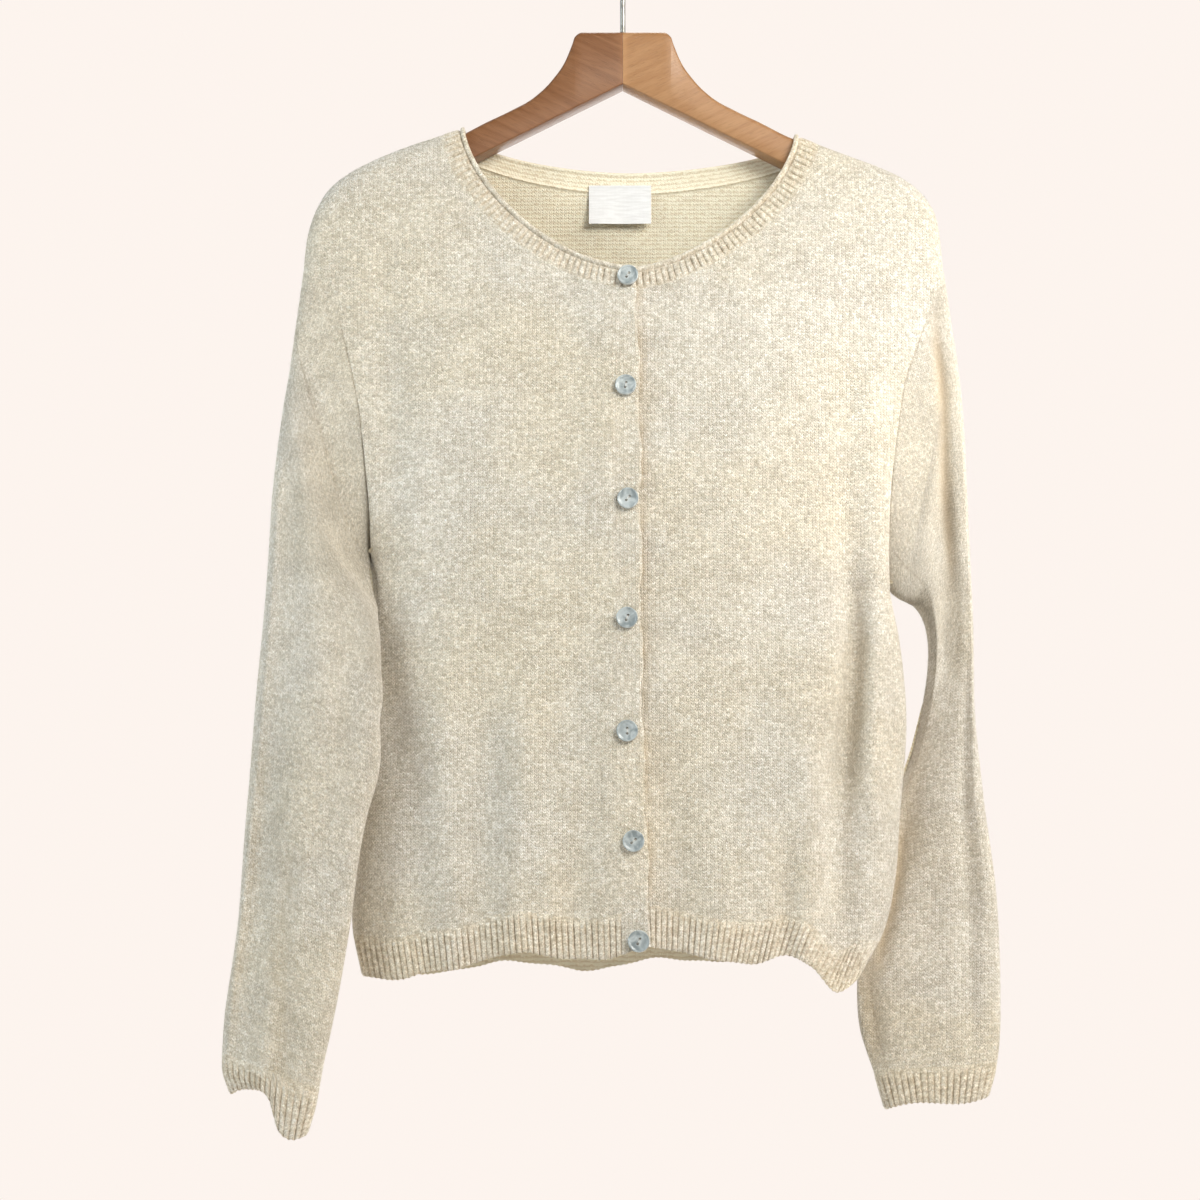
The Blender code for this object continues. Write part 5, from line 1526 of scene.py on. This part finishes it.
def heather_group():
    """Lighter and darker fibres lying mostly along the rows, and pale specks."""
    sizes = {"Length": 0.0070, "Thickness": 0.0022}
    n, given, out = new_group("heather", {"Cloth": None, **sizes}, ("Streak", "Fine", "Speck"))
    x, y = n.split(given["Cloth"])
    long = n.flat(n.sum("DIVIDE", x, given["Length"]), n.sum("DIVIDE", y, given["Thickness"]))
    short = n.flat(n.sum("DIVIDE", x, 0.0022), n.sum("DIVIDE", y, 0.0016))
    speck = n.noise(n.vector("ADD", short, (7.3, 2.1, 4.4)), 0.9, 1.0, 0.5, 0.5)
    streak, fine = n.noise(long, 1.0, 3.0, 0.6, 0.5), n.noise(short, 1.0, 2.0, 0.6, 0.8)
    n.fill(out, {"Streak": streak, "Fine": fine, "Speck": n.remap(speck, 0.58, 0.72)})
    return n.tree


def purl_group():
    """The reverse of the knit: short bars lying along the rows."""
    n, given, out = new_group("purl bars", {"Cloth": None}, ("Bar",))
    wander = n.noise(n.vector("MULTIPLY", given["Cloth"], (260.0, 420.0, 1.0)), 1.0)
    row = n.plus(n.sum("DIVIDE", n.split(given["Cloth"])[1], 0.0030), n.times(wander, 1.4))
    wave = n.sum("SINE", n.times(row, 2 * math.pi))
    patchy = n.times(n.sum("SUBTRACT", wander, 0.5), 3.0)
    n.fill(out, {"Bar": n.remap(n.plus(wave, patchy), -1.3, 0.6)})
    return n.tree


def brushing_group():
    """Where the face of the cloth is brushed over, and slow changes in its dye."""
    n, given, out = new_group("brushing", {"Place": None}, ("Brushed", "Dye"))
    brushed = n.remap(n.noise(given["Place"], 42.0, 3.0, 0.6, 0.3), 0.38, 0.62)
    dye = n.noise(n.vector("ADD", given["Place"], (3.1, 1.7, 5.9)), 9.0, 3.0)
    n.fill(out, {"Brushed": brushed, "Dye": dye})
    return n.tree


def new_material(name):
    made = bpy.data.materials.new(name)
    made.use_nodes = True
    return made, Nodes(made.node_tree), made.node_tree.nodes["Principled BSDF"]


def wool_material(name, light, dark, shade_colour, groups, stitches=1.0, relief=0.0006, ribbed=False):
    """Brushed wool knit: V stitches, streaks of lighter and darker fibre, and a soft nap, with painted shade
    in the gaps between stitches, along the seams, in rib grooves and creases and beside the button band.
    """
    made, n, shader = new_material(name)
    cloth, place = n.cloth(), n.place()
    knit, heather, purl = (n.placed(group, {"Cloth": cloth}) for group in groups[:3])
    brushing = n.placed(groups[3], {"Place": place})
    shown = n.remap(brushing["Brushed"], 0.0, 1.0, 1.0 * stitches, 0.72 * stitches, smooth=False)
    nap = n.noise(place, 1100.0, 2.0, 0.6)
    fine = n.remap(heather["Fine"], 0.32, 0.68, smooth=False)
    dye = n.remap(brushing["Dye"], 0.36, 0.64)
    colour = n.mix(n.remap(heather["Streak"], 0.36, 0.64), dark, light)
    for part, low, high in (
        (fine, (0.78, 0.765, 0.725), (1.11, 1.11, 1.12)),
        (knit["Own"], (0.81, 0.795, 0.76), (1.09, 1.09, 1.10)),
        (n.remap(nap, 0.35, 0.65), (0.84, 0.825, 0.79), (1.12, 1.12, 1.13)),
        (dye, (1.005, 0.99, 0.955), (0.98, 0.995, 1.03)),
    ):
        colour = n.tinted(colour, n.mix(part, low, high))
    # Painted shade: the gaps between stitches are darkened toward the brown shade colour.
    colour = n.mix(n.times(knit["Gap Shade"], n.times(shown, 0.50)), colour, shade_colour)
    colour = n.mix(n.times(heather["Speck"], 0.45), colour, (1.0, 0.98, 0.92))
    # Painted shade along the seams: a broken, dotted dark line where the seam marks lie.
    broken = n.noise(n.vector("MULTIPLY", cloth, (520.0, 520.0, 1.0)), 1.0, 1.0)
    seam = n.times(n.remap(n.mark("seam"), 0.35, 0.9), n.remap(broken, 0.42, 0.56, 0.15, 1.0))
    colour = n.mix(n.times(seam, 0.75), colour, shade_colour)
    # Painted shade from its mark: warm brown in the creases and beside the button band, the shade colour in
    # the rib grooves, broken up on the ribs.
    painted_shade = n.mark("painted_shade")
    if ribbed:
        painted_shade = n.times(painted_shade, n.remap(broken, 0.36, 0.60, 0.20, 0.80))
    colour = n.mix(n.times(painted_shade, 0.62), colour, shade_colour if ribbed else (0.60, 0.45, 0.27))
    purled = n.mix(purl["Bar"], (0.83, 0.72, 0.52), (0.99, 0.92, 0.74))
    height = n.plus(n.times(knit["Height"], shown), n.times(nap, 0.25))
    height = n.plus(height, n.times(heather["Fine"], 0.5))
    n.fill(shader, {
        "Base Color": n.mix(n.mark("inside"), colour, purled), "Normal": n.bump(height, 1.0, relief),
        "Roughness": 0.95, "Specular IOR Level": 0.1,
        "Sheen Weight": 0.3, "Sheen Roughness": 0.5, "Sheen Tint": (1.0, 0.98, 0.94),
    })
    return made


def grain_group():
    """Long wood grain running along X, with fine pores and darker bands."""
    n, given, out = new_group("wood grain", {"Place": None}, ("Band", "Pore"))
    wide, fine = (
        n.add("ShaderNodeMapping", {"Vector": given["Place"], "Scale": scale}).outputs[0]
        for scale in ((14.0, 210.0, 210.0), (160.0, 2200.0, 2200.0))
    )
    pore = n.remap(n.noise(fine, 1.0), 0.52, 0.70)
    n.fill(out, {"Band": n.noise(wide, 1.0, 4.0, 0.6, 0.9), "Pore": pore})
    return n.tree


def wood_material(name, light, dark, slope, grain):
    """Varnished hanger wood, its grain running down the arm and its sharp edges made lighter."""
    made, n, shader = new_material(name)
    turned = n.add("ShaderNodeMapping", {"Vector": n.place(), "Rotation": (0.0, slope, 0.0)})
    figure = n.placed(grain, {"Place": turned.outputs[0]})
    band, pore = figure["Band"], figure["Pore"]
    colour = n.mix(n.remap(band, 0.3, 0.7), dark, light)
    colour = n.mix(n.times(pore, 0.25), colour, tuple(v * 0.35 for v in dark))
    lighter_edge = tuple(min(1, v * 1.6) for v in light)
    n.fill(shader, {
        # Sharp edges, found by their pointiness, are made lighter.
        "Base Color": n.mix(n.remap(n.edge(), 0.52, 0.60, 0.0, 0.35), colour, lighter_edge),
        "Normal": n.bump(n.sum("SUBTRACT", band, pore), 0.25, 0.0003),
        "Roughness": n.remap(band, 0.2, 0.8, 0.34, 0.50), "Coat Weight": 0.25, "Coat Roughness": 0.25,
    })
    return made


def shell_material():
    """Grey-blue polished shell with slow clouding and a paler rim."""
    made, n, shader = new_material("grey_shell")
    place = n.place()
    cloud = n.noise(place, 120.0, 3.0, 0.5, 1.0)
    colour = n.mix(n.remap(cloud, 0.34, 0.66), (0.25, 0.29, 0.30), (0.52, 0.57, 0.58))
    layers = n.noise(n.vector("MULTIPLY", place, (1.0, 1.0, 3.0)), 420.0, 2.0, 0.5, 2.0)
    colour = n.mix(n.remap(layers, 0.60, 0.80, 0.0, 0.35), colour, (0.60, 0.63, 0.60))
    colour = n.mix(n.remap(n.edge(), 0.51, 0.58, 0.0, 0.8), colour, (0.74, 0.77, 0.76))
    n.fill(shader, {
        "Base Color": colour, "Normal": n.bump(layers, 0.15, 0.0002),
        "Roughness": n.remap(cloud, 0.3, 0.7, 0.16, 0.30), "Coat Weight": 0.6, "Coat Roughness": 0.08,
    })
    return made


def wire_material():
    """Plated hook wire, dulled in patches."""
    made, n, shader = new_material("hook_wire")
    wear = n.noise(n.place(), 120.0, 4.0, 0.6)
    colour = n.mix(n.remap(wear, 0.35, 0.65), (0.26, 0.25, 0.23), (0.42, 0.41, 0.38))
    n.fill(shader, {"Base Color": colour, "Roughness": n.remap(wear, 0.3, 0.7, 0.50, 0.38), "Metallic": 1.0})
    return made


def label_material():
    """Close white satin with fine crosswise threads."""
    made, n, shader = new_material("label_satin")
    cloth = n.cloth()
    x, y = n.split(cloth)
    across = n.sum("SINE", n.times(y, 2 * math.pi / 0.00042))
    along = n.sum("SINE", n.times(x, 2 * math.pi / 0.0009))
    threads = n.plus(n.times(across, 0.5), n.times(along, 0.2))
    soft = n.noise(n.vector("MULTIPLY", cloth, (90.0, 700.0, 1.0)), 1.0)
    colour = n.mix(n.remap(soft, 0.3, 0.7), (0.82, 0.815, 0.82), (0.92, 0.92, 0.93))
    n.fill(shader, {
        "Base Color": n.mix(n.remap(threads, -0.7, 0.2, 0.18, 0.0), colour, (0.72, 0.70, 0.66)),
        "Normal": n.bump(threads, 0.5, 0.00012),
        "Roughness": n.remap(soft, 0.2, 0.8, 0.42, 0.62), "Sheen Weight": 0.15,
    })
    return made


def strand_material(name, scale, dark, light, values):
    """Fine thread or fibre, paler along some of its length."""
    made, n, shader = new_material(name)
    colour = n.mix(n.remap(n.noise(n.place(), scale), 0.3, 0.7), dark, light)
    n.fill(shader, {"Base Color": colour, **values})
    return made


def grow_fuzz(name, sheets, count, seed, lengths, thick):
    """Loose fibres standing off the cloth, thickest where it turns away at the outline."""
    rng = np.random.default_rng(seed)
    corners, normals = [], []
    for outer, facing_out in sheets:
        for grid, kept in ((outer, corners), (facing_out, normals)):
            quads = np.stack([grid[:-1, :-1], grid[:-1, 1:], grid[1:, :-1], grid[1:, 1:]], -2)
            kept.append(quads.reshape(-1, 4, 3))
    corners, normals = np.concatenate(corners), np.concatenate(normals)
    area = np.linalg.norm(np.cross(corners[:, 1] - corners[:, 0], corners[:, 2] - corners[:, 0]), axis=-1)
    weight = area * (0.6 + 2.6 * (1 - np.abs(normals[:, 0, 1])) ** 2)
    chosen = rng.choice(len(corners), count, p=weight / weight.sum())
    u, v = rng.random((2, count, 1))
    parts = np.stack([(1 - u) * (1 - v), u * (1 - v), (1 - u) * v, u * v], 1)
    root = (corners[chosen] * parts).sum(1)
    up = unit((normals[chosen] * parts).sum(1))
    aside = unit(np.cross(up, unit(rng.normal(size=(count, 3)))))
    lift = rng.uniform(0.15, 0.95, (count, 1))
    length = rng.uniform(*lengths, (count, 1)) * rng.uniform(0.5, 1.0, (count, 1))
    first = unit(up * np.sin(lift) + aside * np.cos(lift))
    turn = unit(np.cross(first, rng.normal(size=(count, 3))))
    second = unit(first + turn * rng.uniform(0.2, 0.9, (count, 1)) - up * 0.35)
    middle = root + first * length * 0.5
    tip = middle + second * length * 0.5
    across = unit(np.cross(first, turn))
    over = np.cross(first, across)
    angles = np.array([0.0, 2.1, 4.2])
    ring = across[:, None] * np.cos(angles)[None, :, None] + over[:, None] * np.sin(angles)[None, :, None]
    base = (root - up * 0.0002)[:, None] + ring * thick
    waist = middle[:, None] + ring * thick * 0.8
    points = np.concatenate([base, waist, tip[:, None]], 1)
    one = np.array([
        (0, 1, 4), (0, 4, 3), (1, 2, 5), (1, 5, 4), (2, 0, 3), (2, 3, 5),
        (3, 4, 6), (4, 5, 6), (5, 3, 6), (0, 2, 1),
    ])
    faces = (one[None] + 7 * np.arange(count)[:, None, None]).reshape(-1, 3)
    return piece_from(name, points.reshape(-1, 3), faces)


knit, heather, brushing, purl = knit_group(), heather_group(), brushing_group(), purl_group()
groups = (knit, heather, purl, brushing)
wool = wool_material("brushed_wool", (0.95, 0.91, 0.825), (0.86, 0.80, 0.69), (0.42, 0.32, 0.20), groups)
rib_wool = wool_material(
    "ribbed_wool", (0.97, 0.92, 0.81), (0.80, 0.72, 0.59), (0.40, 0.29, 0.18), groups,
    stitches=0.7, relief=0.0005, ribbed=True,
)
grain = grain_group()
dark_wood = wood_material("dark_hanger_wood", (0.28, 0.125, 0.053), (0.215, 0.088, 0.034), -0.45, grain)
light_wood = wood_material("light_hanger_wood", (0.45, 0.24, 0.108), (0.385, 0.19, 0.080), 0.45, grain)
shell, wire, satin = shell_material(), wire_material(), label_material()
thread = strand_material("sewing_thread", 2600.0, (0.60, 0.55, 0.47), (0.93, 0.91, 0.86), {"Roughness": 0.6})
soft_fibre = {"Roughness": 0.8, "Specular IOR Level": 0.2, "Sheen Weight": 0.4}
fibre = strand_material("loose_fibre", 240.0, (0.80, 0.73, 0.62), (0.97, 0.94, 0.88), soft_fibre)


def finish(piece, material, node):
    """Gives a piece its material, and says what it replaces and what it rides."""
    piece.data.materials.clear()
    piece.data.materials.append(material)
    if node:
        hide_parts(node)
    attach(piece, "root")
    return piece


backs = {half: dense_panel("back", half) for half in SIGN}
fronts = {half: dense_panel("front", half) for half in SIGN}
back_view, back_foot = (both_halves(right, left) for right, left in zip(backs["right"], backs["left"]))
pieces = {
    "back_panel": make_panel("back_cloth", "back", back_view, {"top": 0.5, "first": 0.8, "last": 0.8}),
    "hem_rib_back": make_hem("hem_cloth_back", "back", back_foot),
    "neckband": make_neckband(),
}
for half in SIGN:
    view, foot = fronts[half]
    lapped = half == "right"
    seams = {"top": 0.25, "first": 0.12, "last": 0.8}
    pieces["front_" + half] = make_panel("front_cloth_" + half, "front", view, seams, lapped)
    pieces["hem_rib_front_" + half] = make_hem("hem_cloth_front_" + half, "front", foot, lapped)
    pieces["sleeve_" + half] = make_sleeve(half)
    pieces["cuff_" + half] = make_cuff(half)
    pieces["placket_" + half] = make_placket(half, lapped)
for node in pieces:
    ribbed = node.startswith(("hem_rib", "cuff", "neckband"))
    finish(pieces[node][0], rib_wool if ribbed else wool, node)

for number, (button, strands) in enumerate(make_buttons(), 1):
    finish(button, shell, f"button_{number}")
    finish(strands, thread, None)
label = finish(make_label(), satin, "neck_label")
finish(make_arm("right"), dark_wood, "hanger_arm_right")
finish(make_arm("left"), light_wood, "hanger_arm_left")
finish(make_hook(), wire, "hanger_hook")

FUZZED = {
    "body": ("back", "front", "hem", "neck", "placket_right"),
    "sleeves": ("sleeve", "cuff"),
}
for seed, (place, starts) in enumerate(FUZZED.items(), 31):
    sheets = [pieces[node][1:] for node in pieces if node.startswith(starts)]
    fuzz = grow_fuzz(f"fuzz_{place}", sheets, FUZZ[place], seed, FUZZ_LENGTHS, FUZZ_RADIUS)
    finish(fuzz, fibre, None)
    hairs = grow_fuzz(f"hairs_{place}", sheets, HAIRS[place], seed + 9, HAIR_LENGTHS, HAIR_RADIUS)
    finish(hairs, fibre, None)


FLOOR = -1.35
FLOOR_SIDES = 96
BACKDROP = (0.98, 0.905, 0.855)


def either(n, part, first, second):
    """The shader between two others, by this part."""
    return n.add("ShaderNodeMixShader", {0: part, 1: first, 2: second}).outputs[0]


def seen_by_camera(n):
    return n.add("ShaderNodeLightPath").outputs["Is Camera Ray"]


def lay_floor():
    """A wide, flat, round floor. To the camera it nearly matches the backdrop."""
    turns = np.linspace(0, 2 * math.pi, FLOOR_SIDES, endpoint=False)
    radii = (0.02, 0.6, 1.6, 2.6, 3.4)
    points = [(radius * math.cos(turn), radius * math.sin(turn), FLOOR) for radius in radii for turn in turns]
    order = np.arange(len(points)).reshape(len(radii), -1)
    after = np.roll(order, -1, axis=1)
    faces = np.stack([order[:-1], order[1:], after[1:], after[:-1]], -1).reshape(-1, 4).tolist()
    mesh = bpy.data.meshes.new("studio_floor")
    mesh.from_pydata(points, [], faces + [list(range(FLOOR_SIDES))])
    made, n, shader = new_material("floor_paint")
    paint = n.mix(n.noise(n.place(), 3.0), (0.86, 0.82, 0.78), (0.90, 0.86, 0.82))
    n.fill(shader, {"Base Color": paint, "Roughness": 0.9})
    pale = n.add("ShaderNodeEmission", {"Color": BACKDROP}).outputs[0]
    shown = either(n, n.times(seen_by_camera(n), 0.85), shader.outputs[0], pale)
    n.join(shown, made.node_tree.nodes["Material Output"].inputs["Surface"])
    mesh.materials.append(made)
    new_object("studio_floor", mesh)


def soft_light(name, at, aim, size, power, colour):
    """A round lamp this wide."""
    lamp = bpy.data.lights.new(name, "AREA")
    lamp.shape = "DISK"
    lamp.size = size
    hang_lamp(lamp, at, aim, power, colour)


def narrow_light(name, at, aim, cone, power, colour):
    """A small lamp with a soft-edged cone, to lift one part of the cloth."""
    lamp = bpy.data.lights.new(name, "SPOT")
    lamp.shadow_soft_size = 0.12
    lamp.spot_size = cone
    lamp.spot_blend = 1.0
    hang_lamp(lamp, at, aim, power, colour)


def hang_lamp(lamp, at, aim, power, colour):
    lamp.energy = power
    lamp.color = colour
    turn_to(new_object(lamp.name, lamp), at, aim)


def turn_to(made, at, aim):
    """Puts a lamp or camera in its place, and points it at the aim."""
    made.location = at
    made.rotation_euler = (Vector(aim) - Vector(at)).to_track_quat("-Z", "Y").to_euler()


def hang_lights():
    """A key close by on the right, cool lamps on the left, rims behind, and four narrow fills."""
    middle = (0.0, 0.0, -0.42)
    soft_light("key_right", (0.75, -1.15, 0.25), middle, 0.7, 16.8, (1.0, 0.99, 0.94))
    soft_light("top_right", (1.5, -0.9, 0.7), (0.18, 0.0, -0.30), 0.8, 10.5, (1.0, 0.97, 0.92))
    soft_light("window_left", (-0.9, -1.9, -0.6), middle, 1.0, 2, (0.94, 0.98, 1.0))
    soft_light("side_left", (-1.8, -0.7, 0.1), middle, 1.0, 20, (0.84, 0.95, 1.0))
    soft_light("side_right", (2.0, -0.4, -0.3), middle, 1.0, 9, (1.0, 0.96, 0.90))
    narrow_light("neck_fill", (0.15, -1.0, 0.10), (0.0, 0.05, -0.19), 0.36, 3.6, (1.0, 0.97, 0.84))
    narrow_light("sleeve_fill", (0.9, -1.0, 0.3), (0.250, 0.0, -0.345), 0.21, 78, (1.0, 1.0, 0.98))
    narrow_light("left_fill", (-1.2, -1.0, 0.1), (-0.262, 0.0, -0.38), 0.23, 19, (0.88, 0.96, 1.0))
    narrow_light("cuff_fill", (0.9, -1.0, -0.4), (0.19, 0.0, -0.72), 0.20, 14, (1.0, 0.94, 0.84))
    soft_light("rim_left", (-1.5, 1.2, 0.0), middle, 1.0, 13, (0.97, 0.98, 1.0))
    soft_light("rim_right", (1.5, 1.2, 0.0), middle, 1.0, 10, (1.0, 0.96, 0.90))
    soft_light("back_wall", (0.2, 2.1, -0.2), middle, 1.4, 13, (1.0, 0.97, 0.93))
    soft_light("rim_top", (0.0, 1.0, 1.2), middle, 1.0, 9, (1.0, 0.98, 0.94))


def wrap_world():
    """The backdrop that the camera sees, and a faint warm light from all round."""
    world = bpy.data.worlds.new("pale_room")
    world.use_nodes = True
    bpy.context.scene.world = world
    world.node_tree.nodes.clear()
    n = Nodes(world.node_tree)
    seen = n.add("ShaderNodeBackground", {"Color": BACKDROP, "Strength": 1.0}).outputs[0]
    lit = n.add("ShaderNodeBackground", {"Color": (1.0, 0.95, 0.90), "Strength": 0.10}).outputs[0]
    n.add("ShaderNodeOutputWorld", {"Surface": either(n, seen_by_camera(n), lit, seen)})


def set_camera():
    """The photograph's view: from low in front, looking a little up."""
    lens = bpy.data.cameras.new("photo_view")
    lens.lens = 86.4
    lens.sensor_width = 36.0
    camera = new_object("photo_view", lens)
    turn_to(camera, (-0.0155, -1.8766, -0.7697), (-0.0155, 0.0, -0.4725))
    bpy.context.scene.camera = camera


lay_floor()
hang_lights()
wrap_world()
set_camera()
bpy.context.scene.view_settings.view_transform = "Standard"
